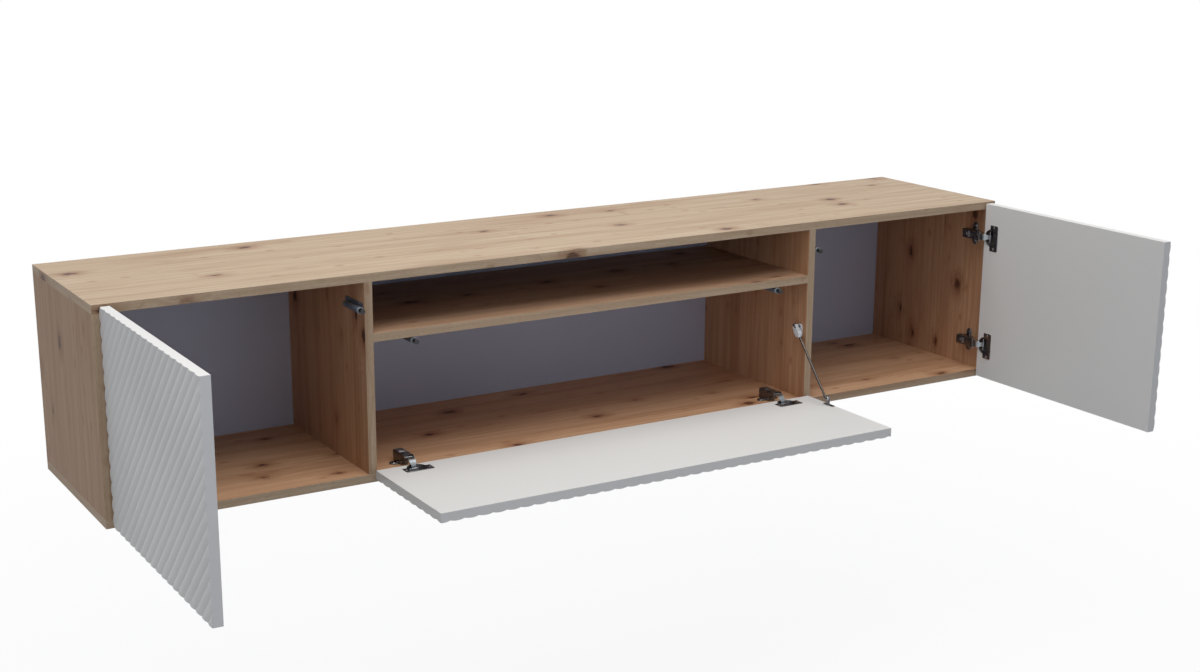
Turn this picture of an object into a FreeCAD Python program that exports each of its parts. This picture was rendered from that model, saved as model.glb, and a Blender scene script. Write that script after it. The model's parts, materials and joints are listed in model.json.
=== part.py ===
import FreeCAD, Part
import math
import os
import re

import Sketcher

# A wall-hung media console: two side-hinged doors, a drop-down flap under an open niche, and
# diagonal flutes milled across all three fronts.  Millimetres, +Z up, +Y into the wall.
#
# "Cabinet places" below are measured from the lower left front corner of the carcass: x along the
# width, y back from the front edges of the boards, z up from the underside.  The part's own origin
# is on the wall, in the middle of the outer wall screws; to_wall() moves from one to the other.
# The fronts are drawn open, which is the rest position of their joints.

V = FreeCAD.Vector
doc = FreeCAD.newDocument("media_console")

# ---------------------------------------------------------------------------------------- sizes

SIZES = [
    ("cabinet_width", 2000, "over both ends"),
    ("cabinet_height", 394, "underside to top"),
    ("carcass_depth", 380, "front edges of the boards to the wall"),
    ("hang_height", 345, "underside to the middle of the wall screws"),
    ("board", 16, "thickness of the carcass boards"),
    ("divider_setting", 500, "end of the cabinet to the middle of the near divider"),
    ("shelf_under", 266, "underside of the cabinet to underside of the shelf"),
    ("back_sheet", 3, "thickness of the back sheets"),
    ("back_recess", 8, "wall to the back sheets"),
    ("groove_depth", 8, "how far a back sheet sits in a board"),
    ("groove_play", 0.2, "room round a sheet in its groove"),
    ("sheet_joint", 0.5, "gap between two back sheets behind a divider"),
    ("front_board", 18, "thickness of the doors and the flap"),
    ("front_gap", 2, "closed front to the front edges of the boards"),
    ("side_reveal", 1.5, "door edge to cabinet end and to divider middle"),
    ("end_reveal", 3, "door edge to cabinet top and underside, flap edge to underside"),
    ("flap_reveal", 2.5, "flap edge to divider middle"),
    ("flap_length", 268, "hinged edge of the flap to its free edge"),
    ("flute_pitch", 19.6, "flute to flute, square to the flutes"),
    ("flute_depth", 2.2, "crest to notch"),
    ("flute_skim", 0.5, "what the cutter takes off the crests"),
    ("door_hinge_inset", 76, "cabinet top and underside to the door hinges"),
    ("flap_hinge_inset", 75, "divider middle to the flap hinges"),
    ("door_arm_pivot_in", 33, "outer face of the side to the arm pivot"),
    ("door_arm_pivot_back", 7, "front edges to the arm pivot"),
    ("door_cup_pivot_edge", 11.3, "hinged edge of the door to the cup pivot"),
    ("door_link_swing", 31.2, "degrees the link swings while the door turns ninety"),
    ("flap_arm_pivot_in", 34.5, "underside of the cabinet to the arm pivot"),
    ("flap_arm_pivot_back", 4.2, "front edges to the arm pivot"),
    ("flap_cup_pivot_edge", 8.4, "hinged edge of the flap to the cup pivot"),
    ("flap_link_swing", 24.3, "degrees the link swings while the flap turns ninety"),
    ("cup_pivot_depth", 6, "inner face of the front to the cup pivot"),
    ("cup_setback", 21.5, "hinged edge of the front to the middle of the cup"),
    ("cup_radius", 17.5, "outside of the cup"),
    ("cup_depth", 11.5, "inner face of the front to the bottom of the cup"),
    ("cup_wall", 0.7, "sheet of the cup"),
    ("flange_radius", 19, "rim of the cup"),
    ("flange_thick", 1, "rim and ears"),
    ("ear_wide", 23, "plate with the cup's two ears"),
    ("cup_screw_in", 6, "middle of the cup to its screws, away from the edge"),
    ("cup_screw_out", 24, "middle of the cup to its screws, along the edge"),
    ("ear_end", 4.5, "a cup's screws to the ends of its ears"),
    ("link_width", 14, "broad end of a hinge link"),
    ("link_neck", 10, "end of a link inside the cup"),
    ("link_thick", 2, "plate of a link"),
    ("link_bulge", 7.5, "how far a link arches off the line between its pins"),
    ("barrel_radius", 2.6, "rolled ends of a link"),
    ("hinge_pin_radius", 1.5, "pins of the hinges"),
    ("pin_play", 0.05, "radial running clearance on pins"),
    ("arm_width", 20, "over the cheeks of a hinge arm"),
    ("arm_sheet", 1.2, "sheet of a hinge arm"),
    ("arm_nose", 4.2, "pivot to the rounded end and the top of the arm"),
    ("arm_reach", 49, "pivot to the rear end of the arm"),
    ("arm_step", 14, "pivot to where the cheeks get deeper"),
    ("arm_cheek", 9, "pivot to the lower edge of the deep cheeks"),
    ("web_start", 4.6, "pivot to the front edge of the top of the arm"),
    ("plate_setback", 37, "front edges to the screws of a mounting plate"),
    ("plate_span", 50, "length of the plate's wings"),
    ("plate_wing", 15, "width of the plate's wings"),
    ("plate_thick", 2.5, "thickness of the wings"),
    ("plate_screw_gap", 32, "between the two screws of a plate"),
    ("plate_block_wide", 16, "block along the middle of a plate"),
    ("plate_block_tall", 8, "block along the middle of a plate"),
    ("plate_block_long", 34, "block along the middle of a plate"),
    ("plate_block_front", 14, "a plate's screws to the front of its block"),
    ("arm_seat_long", 16, "raised seat of an arm on its plate"),
    ("arm_screw_back", 45, "front edges to the screw that holds an arm"),
    ("arm_screw_length", 8, "screw that holds an arm"),
    ("arm_bore_deep", 10, "its hole in the seat"),
    ("screw_play", 0.05, "room round a screw or dowel in its hole"),
    ("small_head", 3.4, "head radius of the fittings' screws"),
    ("small_head_high", 1.3, "head height of the fittings' screws"),
    ("small_shank", 1.7, "shank radius of the fittings' screws"),
    ("small_grip", 12, "how deep the fittings' screws go into a board"),
    ("cam_front", 133, "front edges to the front cam fittings"),
    ("cam_rear", 277, "front edges to the rear cam fittings"),
    ("dowel_front", 69, "front edges to the front dowels"),
    ("dowel_rear", 245, "front edges to the rear dowels"),
    ("cam_setback", 24, "end of a board to the middle of its cam"),
    ("cam_radius", 7.5, "cam housing"),
    ("cam_depth", 12.5, "cam housing"),
    ("cam_bolt_radius", 3, "bolt that a cam pulls"),
    ("cam_bolt_grip", 11, "how deep a cam bolt is screwed in"),
    ("dowel_radius", 4, "dowels"),
    ("dowel_length", 30, "dowels"),
    ("dowel_grip", 10, "how much of a dowel sits in the other board's face"),
    ("long_screw_radius", 3.2, "screws through the bottom board"),
    ("long_screw_length", 50, "screws through the bottom board"),
    ("long_head_radius", 5, "their heads"),
    ("long_head_high", 3, "their heads"),
    ("nail_radius", 0.9, "nails of the back sheets"),
    ("nail_length", 18, "nails of the back sheets"),
    ("nail_inset", 5, "middle of a divider to its nails"),
    ("latch_up", 330, "underside to the push latches of the doors"),
    ("flap_latch_inset", 87, "divider middle to the push latches of the flap"),
    ("latch_length", 82, "base plate and barrel of a push latch"),
    ("latch_base_wide", 18, "base plate"),
    ("latch_base_thick", 2, "base plate"),
    ("latch_base_start", 6, "mouth of the barrel to the base plate"),
    ("latch_tail", 12, "base plate behind the barrel"),
    ("latch_saddle_start", 8, "mouth of the barrel to the web under it"),
    ("latch_play", 0.5, "room behind the tip and the plunger when pushed in"),
    ("latch_barrel_radius", 6.2, "barrel"),
    ("latch_barrel_off", 2.6, "barrel to the middle line of the base"),
    ("latch_lift", 7.6, "board to the middle of the barrel"),
    ("latch_reach", 11, "front edges to the tip, when out"),
    ("latch_stroke", 9.3, "travel of the tip"),
    ("latch_tip_radius", 4.6, "tip"),
    ("latch_tip_thick", 3, "tip"),
    ("latch_stem_radius", 3, "plunger"),
    ("latch_stem_length", 40, "plunger behind the tip"),
    ("latch_screw_front", 20, "front end of the latch to its first screw"),
    ("latch_screw_rear", 64, "front end of the latch to its second screw"),
    ("latch_screw_off", 6.2, "middle line of the base to its screws"),
    ("latch_head", 2.5, "heads of the latch screws"),
    ("stay_block_back", 18, "front edges to the pivot of the stay"),
    ("stay_block_up", 161, "underside to the pivot of the stay"),
    ("stay_off", 9, "face of the divider to the middle of the rod"),
    ("stay_rod_radius", 2.4, "rod of the stay"),
    ("stay_rod_play", 0.06, "rod in its block"),
    ("stay_reach", 78, "hinged edge of the flap to the rod's lower end"),
    ("stay_lift", 15, "inner face of the flap to the rod's lower end"),
    ("stay_stop_radius", 4.2, "stop at the top of the rod"),
    ("stay_stop_long", 3, "stop at the top of the rod"),
    ("stay_stop_gap", 0.5, "block to the stop when the flap is open"),
    ("stay_block_wide", 14, "across the rod"),
    ("stay_block_long", 27, "along the rod"),
    ("stay_block_thick", 10, "along the pivot"),
    ("stay_base_thick", 2.5, "bracket on the divider"),
    ("stay_base_wide", 15, "bracket on the divider"),
    ("stay_base_tall", 30, "bracket on the divider"),
    ("stay_screw_off", 9.5, "pivot of the stay to its bracket's screws"),
    ("stay_boss_radius", 3, "pivot on the divider's bracket"),
    ("stay_boss_play", 0.3, "block to the screw heads of its bracket"),
    ("stay_boss_end", 0.7, "rod to the end of the boss"),
    ("stay_hook_gap", 0.3, "end of the rod's hook to the ear"),
    ("stay_ear_off", 5, "middle of the rod to the ear of the flap bracket"),
    ("stay_ear_radius", 5.5, "rounded end of the ear"),
    ("stay_plate_thick", 1.5, "sheet of the flap bracket"),
    ("stay_foot_long", 30, "foot of the flap bracket"),
    ("stay_foot_wide", 7.6, "foot of the flap bracket"),
    ("stay_clip_radius", 3.6, "snap cap in the ear"),
    ("stay_clip_thick", 1.1, "snap cap in the ear"),
    ("hanger_wide", 17, "cabinet hanger"),
    ("hanger_deep", 56, "cabinet hanger"),
    ("hanger_tall", 56, "cabinet hanger"),
    ("hanger_top", 2, "top board to the cabinet hanger"),
    ("hanger_ear_long", 18, "thin front end of a hanger"),
    ("hanger_ear_thick", 3, "thin front end of a hanger"),
    ("hanger_peg_radius", 4, "pegs moulded on a hanger"),
    ("hanger_peg_long", 10, "pegs moulded on a hanger"),
    ("hook_wide", 12, "hook of a hanger"),
    ("hook_thick", 1.5, "hook of a hanger"),
    ("hook_start", 32, "front end of a hanger to its hook"),
    ("hook_below", 6, "top board to the hook"),
    ("hook_drop", 8, "how far the end of a hook turns down"),
    ("hook_play", 0.3, "hook in its hanger and on the wall plate"),
    ("hook_room", 2, "room round a hook in the back sheet"),
    ("lip_rise", 10, "how far the lip of a wall plate turns up"),
    ("wall_plate_wide", 44, "wall plate"),
    ("wall_plate_tall", 48, "wall plate"),
    ("wall_plate_thick", 2.5, "wall plate"),
    ("wall_plate_play", 1, "board to the near edge of its wall plate"),
    ("wall_hole_radius", 3, "hole of a wall plate"),
]

sheet = doc.addObject("Spreadsheet::Sheet", "sizes")
for row, (alias, value, note) in enumerate(SIZES, 1):
    sheet.set("A%d" % row, note)
    sheet.set("B%d" % row, str(value))
    sheet.setAlias("B%d" % row, alias)
doc.recompute()

ALIASES = re.compile(r"\b(%s)\b" % "|".join(alias for alias, value, note in SIZES))

# -------------------------------------------------------------------------------------- helpers

ORIGIN = (0, 0, 0)
LEVEL = FreeCAD.Rotation()
AXIS_TURN = {
    "x": FreeCAD.Rotation(V(0, 1, 0), 90),
    "y": FreeCAD.Rotation(V(1, 0, 0), -90),
    "z": LEVEL,
}
pieces = []


def value_of(alias):
    """A driving dimension as a number."""
    return float(sheet.get(alias))


def bind(thing, prop, formula):
    """Ties one property to a formula in the names of the size sheet."""
    thing.setExpression(prop, ALIASES.sub(r"sizes.\1", str(formula)))


def place(thing, at, start=ORIGIN, turn=LEVEL):
    """Puts a thing at a place, counted from another place."""
    thing.Placement = FreeCAD.Placement(V(0, 0, 0), turn)
    for axis, where, zero in zip("xyz", at, start):
        bind(thing, "Placement.Base." + axis, "(%s) - (%s)" % (where, zero))
    return thing


def to_wall(at):
    """A cabinet place, counted from the part's own origin on the wall."""
    return ("%s - cabinet_width / 2" % at[0], "%s - carcass_depth" % at[1], "%s - hang_height" % at[2])


def box(name, size, at=ORIGIN, start=ORIGIN):
    thing = doc.addObject("Part::Box", name)
    for prop, length in zip(("Length", "Width", "Height"), size):
        bind(thing, prop, length)
    return place(thing, at, start)


def rod(name, radius, length, at=ORIGIN, axis="z", start=ORIGIN):
    thing = doc.addObject("Part::Cylinder", name)
    bind(thing, "Radius", radius)
    bind(thing, "Height", length)
    return place(thing, at, start, AXIS_TURN[axis])


def bar(name, sides, radius, length, at=ORIGIN, axis="z", start=ORIGIN):
    """A many-sided bar, for small fasteners and their holes."""
    thing = doc.addObject("Part::Prism", name)
    thing.Polygon = sides
    bind(thing, "Circumradius", radius)
    bind(thing, "Height", length)
    return place(thing, at, start, AXIS_TURN[axis])


def bar4(name, *sizes, **words):
    return bar(name, 4, *sizes, **words)


def bar6(name, *sizes, **words):
    return bar(name, 6, *sizes, **words)


def bar8(name, *sizes, **words):
    return bar(name, 8, *sizes, **words)


def bar12(name, *sizes, **words):
    return bar(name, 12, *sizes, **words)


def bar16(name, *sizes, **words):
    return bar(name, 16, *sizes, **words)


def fuse(name, things):
    whole = doc.addObject("Part::MultiFuse", name)
    whole.Shapes = things
    whole.Refine = True
    return whole


def group(name, things):
    whole = doc.addObject("Part::Compound", name)
    whole.Links = things
    return whole


def cut(name, base, tools):
    """Takes tools out of a base."""
    whole = doc.addObject("Part::Cut", name)
    whole.Base = base
    whole.Tool = tools[0] if len(tools) == 1 else fuse(name + "_tools", tools)
    whole.Refine = True
    return whole


def copy_of(form, name, at=ORIGIN, turn=LEVEL):
    """One more of a form, moved; the form keeps its own placement inside the copy."""
    link = doc.addObject("App::Link", name)
    link.LinkedObject = form
    link.LinkTransform = True
    return place(link, at, ORIGIN, turn)


def piece(thing, name, at=ORIGIN, turn=LEVEL):
    """Makes a thing a sub-part: its name, and its place on the cabinet."""
    thing.Label = name
    place(thing, to_wall(at), ORIGIN, turn)
    pieces.append(thing)
    return thing


def board(name, size, at, tools):
    """A board with its lower left front corner at a cabinet place, and what is cut out of it."""
    slab = box(name + "_slab", size)
    return piece(cut(name + "_cut", slab, tools), name, at)


# ------------------------------------------------------------------------------- cabinet places

LEFT_DIVIDER_X = "divider_setting - board / 2"
RIGHT_DIVIDER_X = "cabinet_width - divider_setting - board / 2"
RIGHT_SIDE_X = "cabinet_width - board"
SHEET_Y = "carcass_depth - back_recess - back_sheet"
TOP_Z = "cabinet_height - board"
UPRIGHT_TALL = "cabinet_height - 2 * board"
SHELF_X = LEFT_DIVIDER_X + " + board"
SHELF_LONG = "cabinet_width - 2 * divider_setting - board"

# name, x of the left face, +1 or -1 for the face that the cams go into
UPRIGHTS = [
    ("left_side_panel", "0", 1),
    ("left_divider", LEFT_DIVIDER_X, 1),
    ("right_divider", RIGHT_DIVIDER_X, 1),
    ("right_side_panel", RIGHT_SIDE_X, -1),
]
CAM_ROWS = ["cam_front", "cam_rear"]
DOWEL_ROWS = ["dowel_front", "dowel_rear"]

# holes collects, for each board, the tools that its fittings need: a list of functions that make
# a tool counted from that board's own corner
holes = {}


def drill(board_name, maker, *sizes, **place_words):
    holes.setdefault(board_name, []).append((maker, sizes, place_words))


def tools_for(board_name, start):
    made = []
    for number, (maker, sizes, words) in enumerate(holes.get(board_name, [])):
        made.append(maker("%s_tool_%d" % (board_name, number), *sizes, start=start, **words))
    return made


# ------------------------------------------------------------------------------------- fixings

def fastener(name, head_radius, head_high, shank_radius, length):
    """A screw, point down, with the underside of its head at zero."""
    head = bar6(name + "_head", head_radius, head_high)
    shank = bar4(name + "_shank", shank_radius, "%s + %s / 2" % (length, head_high),
                 at=(0, 0, "-(%s)" % length))
    return fuse(name, [head, shank])


UP = LEVEL
DOWN = FreeCAD.Rotation(V(1, 0, 0), 180)
FACING = {
    "+x": FreeCAD.Rotation(V(0, 1, 0), 90),
    "-x": FreeCAD.Rotation(V(0, 1, 0), -90),
    "+y": FreeCAD.Rotation(V(1, 0, 0), -90),
    "+z": UP,
    "-z": DOWN,
}


def make_fixings():
    """Cams, bolts, dowels and screws that hold the boards together, and their holes."""
    cams, bolts, dowels, screws = [], [], [], []
    cam = bar8("cam_form", "cam_radius", "cam_depth")
    bolt = bar6("cam_bolt_form", "cam_bolt_radius", "cam_setback - cam_radius + cam_bolt_grip")
    dowel = bar6("dowel_form", "dowel_radius", "dowel_length")
    long_screw = fuse("long_screw_form", [
        bar6("long_screw_head", "long_head_radius", "long_head_high"),
        bar4("long_screw_shank", "long_screw_radius", "long_screw_length"),
    ])
    bolt_hole = "cam_bolt_radius + screw_play"
    dowel_hole = "dowel_radius + screw_play"
    cam_hole = "cam_radius + screw_play"
    cam_z = "%s - cam_setback" % TOP_Z
    for name, left, cam_side in UPRIGHTS:
        middle = left + " + board / 2"
        cam_face = left + (" + board" if cam_side > 0 else "")
        cam_turn = FreeCAD.Rotation(V(0, 0, 1), V(0, 1, 0) * cam_side, V(-1, 0, 0) * cam_side, "XYZ")
        for y in CAM_ROWS:
            tag = "%s_%s" % (name, y)
            cams.append(copy_of(cam, "cam_" + tag, (cam_face, y, cam_z), cam_turn))
            start_x = cam_face + (" - cam_depth" if cam_side > 0 else "")
            drill(name, bar8, cam_hole, "cam_depth", at=(start_x, y, cam_z), axis="x")
            bolts.append(copy_of(bolt, "bolt_" + tag, (middle, y, cam_z + " + cam_radius")))
            drill(name, bar6, bolt_hole, "cam_setback", at=(middle, y, cam_z))
            drill("top_panel", bar6, bolt_hole, "cam_bolt_grip", at=(middle, y, TOP_Z))
            screws.append(copy_of(long_screw, "screw_" + tag, (middle, y, 0)))
            drill("bottom_panel", bar4, "long_screw_radius + screw_play", "board", at=(middle, y, 0))
            drill("bottom_panel", bar6, "long_head_radius + screw_play", "long_head_high",
                  at=(middle, y, 0))
            drill(name, bar4, "long_screw_radius + screw_play", "long_screw_length - board",
                  at=(middle, y, "board"))
        y = "dowel_front"
        dowels.append(copy_of(
            dowel, "dowel_top_" + name, (middle, y, TOP_Z + " + dowel_grip - dowel_length")))
        drill("top_panel", bar6, dowel_hole, "dowel_grip", at=(middle, y, TOP_Z))
        drill(name, bar6, dowel_hole, "dowel_length - dowel_grip",
              at=(middle, y, TOP_Z + " + dowel_grip - dowel_length"))
        dowels.append(copy_of(dowel, "dowel_low_" + name, (middle, y, "board - dowel_grip")))
        drill("bottom_panel", bar6, dowel_hole, "dowel_grip", at=(middle, y, "board - dowel_grip"))
        drill(name, bar6, dowel_hole, "dowel_length - dowel_grip", at=(middle, y, "board"))
    shelf_mid = "shelf_under + board / 2"
    ends = [
        ("left_divider", SHELF_X, 1),
        ("right_divider", RIGHT_DIVIDER_X, -1),
    ]
    for name, end_x, inward in ends:
        dowel_from = end_x + (" - dowel_grip" if inward > 0 else " + dowel_grip - dowel_length")
        in_upright = dowel_from if inward > 0 else end_x
        in_shelf = end_x if inward > 0 else dowel_from
        for y in DOWEL_ROWS:
            dowels.append(copy_of(
                dowel, "dowel_shelf_%s_%s" % (name, y), (dowel_from, y, shelf_mid), FACING["+x"]))
            drill(name, bar6, dowel_hole, "dowel_grip", at=(in_upright, y, shelf_mid), axis="x")
            drill("middle_shelf", bar6, dowel_hole, "dowel_length - dowel_grip",
                  at=(in_shelf, y, shelf_mid), axis="x")
    piece(group("cam_set", cams), "cam_locks")
    piece(group("cam_bolt_set", bolts), "cam_bolts")
    piece(group("dowel_set", dowels), "dowels")
    piece(group("long_screw_set", screws), "bottom_screws")


# --------------------------------------------------------------------------------- back sheets

def make_backs():
    """Three thin sheets in grooves, meeting behind the dividers, and the nails that hold them."""
    low = "board - groove_depth"
    tall = "%s + 2 * groove_depth" % UPRIGHT_TALL
    left_joint = "divider_setting"
    right_joint = "cabinet_width - divider_setting"
    spans = [
        ("left_back_panel", "board - groove_depth", left_joint + " - sheet_joint / 2"),
        ("middle_back_panel", left_joint + " + sheet_joint / 2", right_joint + " - sheet_joint / 2"),
        ("right_back_panel", right_joint + " + sheet_joint / 2", "cabinet_width - board + groove_depth"),
    ]
    nails = []
    nail = bar4("nail_form", "nail_radius", "nail_length", at=(0, 0, "-nail_length"))
    nail_rows = ["cabinet_height / 5", "4 * cabinet_height / 5"]
    for side, joint in (("left", left_joint), ("right", right_joint)):
        for sheet_name, sign in ((side, "-"), ("middle", "+")):
            if side == "right":
                sign = "-" if sign == "+" else "+"
            for number, up in enumerate(nail_rows):
                at = ("%s %s nail_inset" % (joint, sign), "carcass_depth - back_recess", up)
                nails.append(copy_of(
                    nail, "nail_%s_%s_%d" % (side, sheet_name, number), at, FACING["+y"]))
                drill(sheet_name + "_back_panel", bar4, "nail_radius + screw_play", "back_sheet",
                      at=(at[0], SHEET_Y, up), axis="y")
                drill(side + "_divider", bar4, "nail_radius + screw_play",
                      "nail_length - back_sheet",
                      at=(at[0], SHEET_Y + " - nail_length + back_sheet", up), axis="y")
    piece(group("nail_set", nails), "back_panel_nails")
    for name, left, right in spans:
        at = (left, SHEET_Y, low)
        board(name, ("(%s) - (%s)" % (right, left), "back_sheet", tall), at, tools_for(name, at))
    groove_y = SHEET_Y + " - groove_play / 2"
    groove_wide = "back_sheet + groove_play"
    groove_deep = "groove_depth + groove_play"
    inner_left = "board - " + groove_deep.replace(" + ", " - ")
    long_way = "cabinet_width - 2 * (%s)" % inner_left
    drill("top_panel", box, (long_way, groove_wide, groove_deep), at=(inner_left, groove_y, TOP_Z))
    drill("bottom_panel", box, (long_way, groove_wide, groove_deep), at=(inner_left, groove_y, inner_left))
    drill("left_side_panel", box, (groove_deep, groove_wide, UPRIGHT_TALL),
          at=(inner_left, groove_y, "board"))
    drill("right_side_panel", box, (groove_deep, groove_wide, UPRIGHT_TALL),
          at=(RIGHT_SIDE_X, groove_y, "board"))


# -------------------------------------------------------------------------------------- carcass

def make_boards():
    full_deep = "carcass_depth"
    sheet_deep = SHEET_Y
    for name, at in (("bottom_panel", (0, 0, 0)), ("top_panel", (0, 0, TOP_Z))):
        board(name, ("cabinet_width", full_deep, "board"), at, tools_for(name, at))
    for name, left, cam_side in UPRIGHTS:
        at = (left, 0, "board")
        deep = full_deep if "side" in name else sheet_deep
        board(name, ("board", deep, UPRIGHT_TALL), at, tools_for(name, at))
    at = (SHELF_X, 0, "shelf_under")
    board("middle_shelf", (SHELF_LONG, sheet_deep, "board"), at, tools_for("middle_shelf", at))


# --------------------------------------------------------------------------------- wall hanging

def make_hangers():
    """Four hangers in the top rear corners, their hooks, and the plates screwed to the wall."""
    # name of the upright, face that carries the hanger, +1 where the hanger stands to its right
    spots = [
        ("left_side_panel", "board", 1, "left_back_panel"),
        ("left_divider", SHELF_X, 1, "middle_back_panel"),
        ("right_divider", RIGHT_DIVIDER_X, -1, "middle_back_panel"),
        ("right_side_panel", RIGHT_SIDE_X, -1, "right_back_panel"),
    ]
    hanger_y = SHEET_Y + " - hanger_deep"
    hanger_z = TOP_Z + " - hanger_top - hanger_tall"
    peg_y = hanger_y + " + hanger_ear_long / 2"
    peg_rows = ["hanger_tall / 4", "3 * hanger_tall / 4"]
    hook_y = hanger_y + " + hook_start"
    hook_z = TOP_Z + " - hook_below"
    plate_y = "carcass_depth - wall_plate_thick"
    plate_z = "hang_height - wall_plate_tall / 2"
    tongue_y = plate_y + " - hook_play - hook_thick"
    lip_y = tongue_y + " - hook_play - hook_thick"
    lip_z = hook_z + " - hook_play - lip_rise"
    hangers, hooks, plates = [], [], []
    for name, face, side, back in spots:
        def across(low, high):
            return "%s + %s" % (face, low) if side > 0 else "%s - (%s)" % (face, high)

        def centred(wide):
            return across("(hanger_wide - (%s)) / 2" % wide, "(hanger_wide + (%s)) / 2" % wide)

        body = box("hanger_body_" + name,
                   ("hanger_wide", "hanger_deep - hanger_ear_long", "hanger_tall"),
                   at=(across("0", "hanger_wide"), hanger_y + " + hanger_ear_long", hanger_z))
        ear = box("hanger_ear_" + name,
                  ("hanger_ear_thick", "hanger_ear_long + hanger_ear_thick", "hanger_tall"),
                  at=(across("0", "hanger_ear_thick"), hanger_y, hanger_z))
        slot_wide = "hook_wide + 2 * hook_play"
        slot = box("hanger_slot_" + name, (slot_wide, "hanger_deep", "hook_thick + 2 * hook_play"),
                   at=(centred(slot_wide), hook_y + " - hook_room", hook_z + " - hook_play"))
        pegs = []
        peg_x = across("-hanger_peg_long", "0")
        for number, up in enumerate(peg_rows):
            where = (peg_x, peg_y, "%s + %s" % (hanger_z, up))
            pegs.append(bar6("hanger_peg_%s_%d" % (name, number), "hanger_peg_radius",
                             "hanger_peg_long", at=where, axis="x"))
            drill(name, bar6, "hanger_peg_radius + screw_play", "hanger_peg_long", at=where, axis="x")
        hangers.append(cut("hanger_" + name, fuse("hanger_whole_" + name, [body, ear] + pegs), [slot]))

        strip = box("hook_strip_" + name,
                    ("hook_wide", "%s + hook_thick - (%s)" % (tongue_y, hook_y), "hook_thick"),
                    at=(centred("hook_wide"), hook_y, hook_z))
        tongue = box("hook_tongue_" + name, ("hook_wide", "hook_thick", "hook_drop"),
                     at=(centred("hook_wide"), tongue_y, hook_z + " - hook_drop"))
        hooks.append(fuse("hook_" + name, [strip, tongue]))
        window_wide = "hook_wide + 2 * hook_room"
        drill(back, box, (window_wide, "back_sheet", "hook_thick + 2 * hook_room"),
              at=(centred(window_wide), SHEET_Y, hook_z + " - hook_room"))

        plate_x = across("wall_plate_play", "wall_plate_play + wall_plate_wide")
        flat = box("wall_flat_" + name, ("wall_plate_wide", "wall_plate_thick", "wall_plate_tall"),
                   at=(plate_x, plate_y, plate_z))
        floor = box("wall_floor_" + name,
                    ("wall_plate_wide", "carcass_depth - (%s)" % lip_y, "hook_thick"),
                    at=(plate_x, lip_y, lip_z))
        lip = box("wall_lip_" + name, ("wall_plate_wide", "hook_thick", "lip_rise"),
                  at=(plate_x, lip_y, lip_z))
        wall_hole = rod("wall_hole_" + name, "wall_hole_radius", "wall_plate_thick",
                        at=(plate_x + " + wall_plate_wide / 2", plate_y, "hang_height"), axis="y")
        plates.append(cut("wall_plate_" + name, fuse("wall_bent_" + name, [flat, floor, lip]), [wall_hole]))
    piece(group("hanger_set", hangers), "wall_hangers")
    piece(group("hook_set", hooks), "hanger_hooks")
    piece(group("wall_plate_set", plates), "wall_plates")


# --------------------------------------------------------------------------------------- hinges

# A hinge is drawn in its own frame: x in from the outer face of the board that carries it, y back
# from the front edges, z along the pins, with zero at the middle of the hinge.
#
# The arm pin stands still.  The cup pin rides in the front.  While the front turns by ninety
# degrees one way, the link between the pins swings a little the other way, which carries the
# hinged edge clear of the board.

REVEAL = {"door": "side_reveal", "flap": "end_reveal"}


def chain(kind):
    """Formulas for the pins of one kind of hinge, and for where the open front stands."""
    arm = ("%s_arm_pivot_in" % kind, "%s_arm_pivot_back" % kind)
    shut = ("(%s + %s_cup_pivot_edge)" % (REVEAL[kind], kind), "(-front_gap - cup_pivot_depth)")
    swing = "%s_link_swing" % kind
    across = "(%s - %s)" % (shut[0], arm[0])
    back = "(%s - %s)" % (shut[1], arm[1])
    cup = (
        "(%s + cos(%s) * %s - sin(%s) * %s)" % (arm[0], swing, across, swing, back),
        "(%s + sin(%s) * %s + cos(%s) * %s)" % (arm[1], swing, across, swing, back),
    )
    return {
        "arm": arm,
        "cup": cup,
        "reach": "sqrt(%s ^ 2 + %s ^ 2)" % (across, back),
        "lean": "atan2(%s - %s; %s - %s)" % (cup[1], arm[1], cup[0], arm[0]),
        "face": "(%s + cup_pivot_depth)" % cup[0],
        "edge": "(%s + %s_cup_pivot_edge)" % (cup[1], kind),
    }


def arm_form(kind):
    """The arm: a channel with a rounded nose and deeper cheeks behind, and its riveted pin."""
    pin_in, pin_back = chain(kind)["arm"]
    low = "-arm_width / 2"
    nose = bar12(kind + "_arm_nose", "arm_nose", "arm_width", at=(pin_in, pin_back, low))
    front = box(kind + "_arm_front", ("2 * arm_nose", "arm_step", "arm_width"),
                at=(pin_in + " - arm_nose", pin_back, low))
    rear = box(kind + "_arm_rear", ("arm_nose + arm_cheek", "arm_reach - arm_step", "arm_width"),
               at=(pin_in + " - arm_cheek", pin_back + " + arm_step", low))
    whole = fuse(kind + "_arm_whole", [nose, front, rear])
    room = "arm_width - 2 * arm_sheet"
    inside = box(kind + "_arm_inside", ("arm_nose + arm_cheek", "arm_nose + arm_reach", room),
                 at=(pin_in + " - arm_cheek - arm_sheet", pin_back + " - arm_nose", "-(%s) / 2" % room))
    mouth = box(kind + "_arm_mouth", ("2 * arm_nose + arm_sheet", "arm_nose + web_start", room),
                at=(pin_in + " - arm_nose", pin_back + " - arm_nose", "-(%s) / 2" % room))
    hollow = fuse(kind + "_arm_hollow", [inside, mouth])
    pin = bar8(kind + "_arm_pin", "hinge_pin_radius", "arm_width", at=(pin_in, pin_back, low))
    screw_hole = bar4(kind + "_arm_screw_hole", "small_shank + screw_play", "2 * arm_sheet",
                      at=(pin_in + " + arm_nose - 1.5 * arm_sheet", "arm_screw_back", 0), axis="x")
    channel = cut(kind + "_arm_channel", whole, [hollow, screw_hole])
    return fuse(kind + "_arm_form", [channel, pin])


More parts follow.
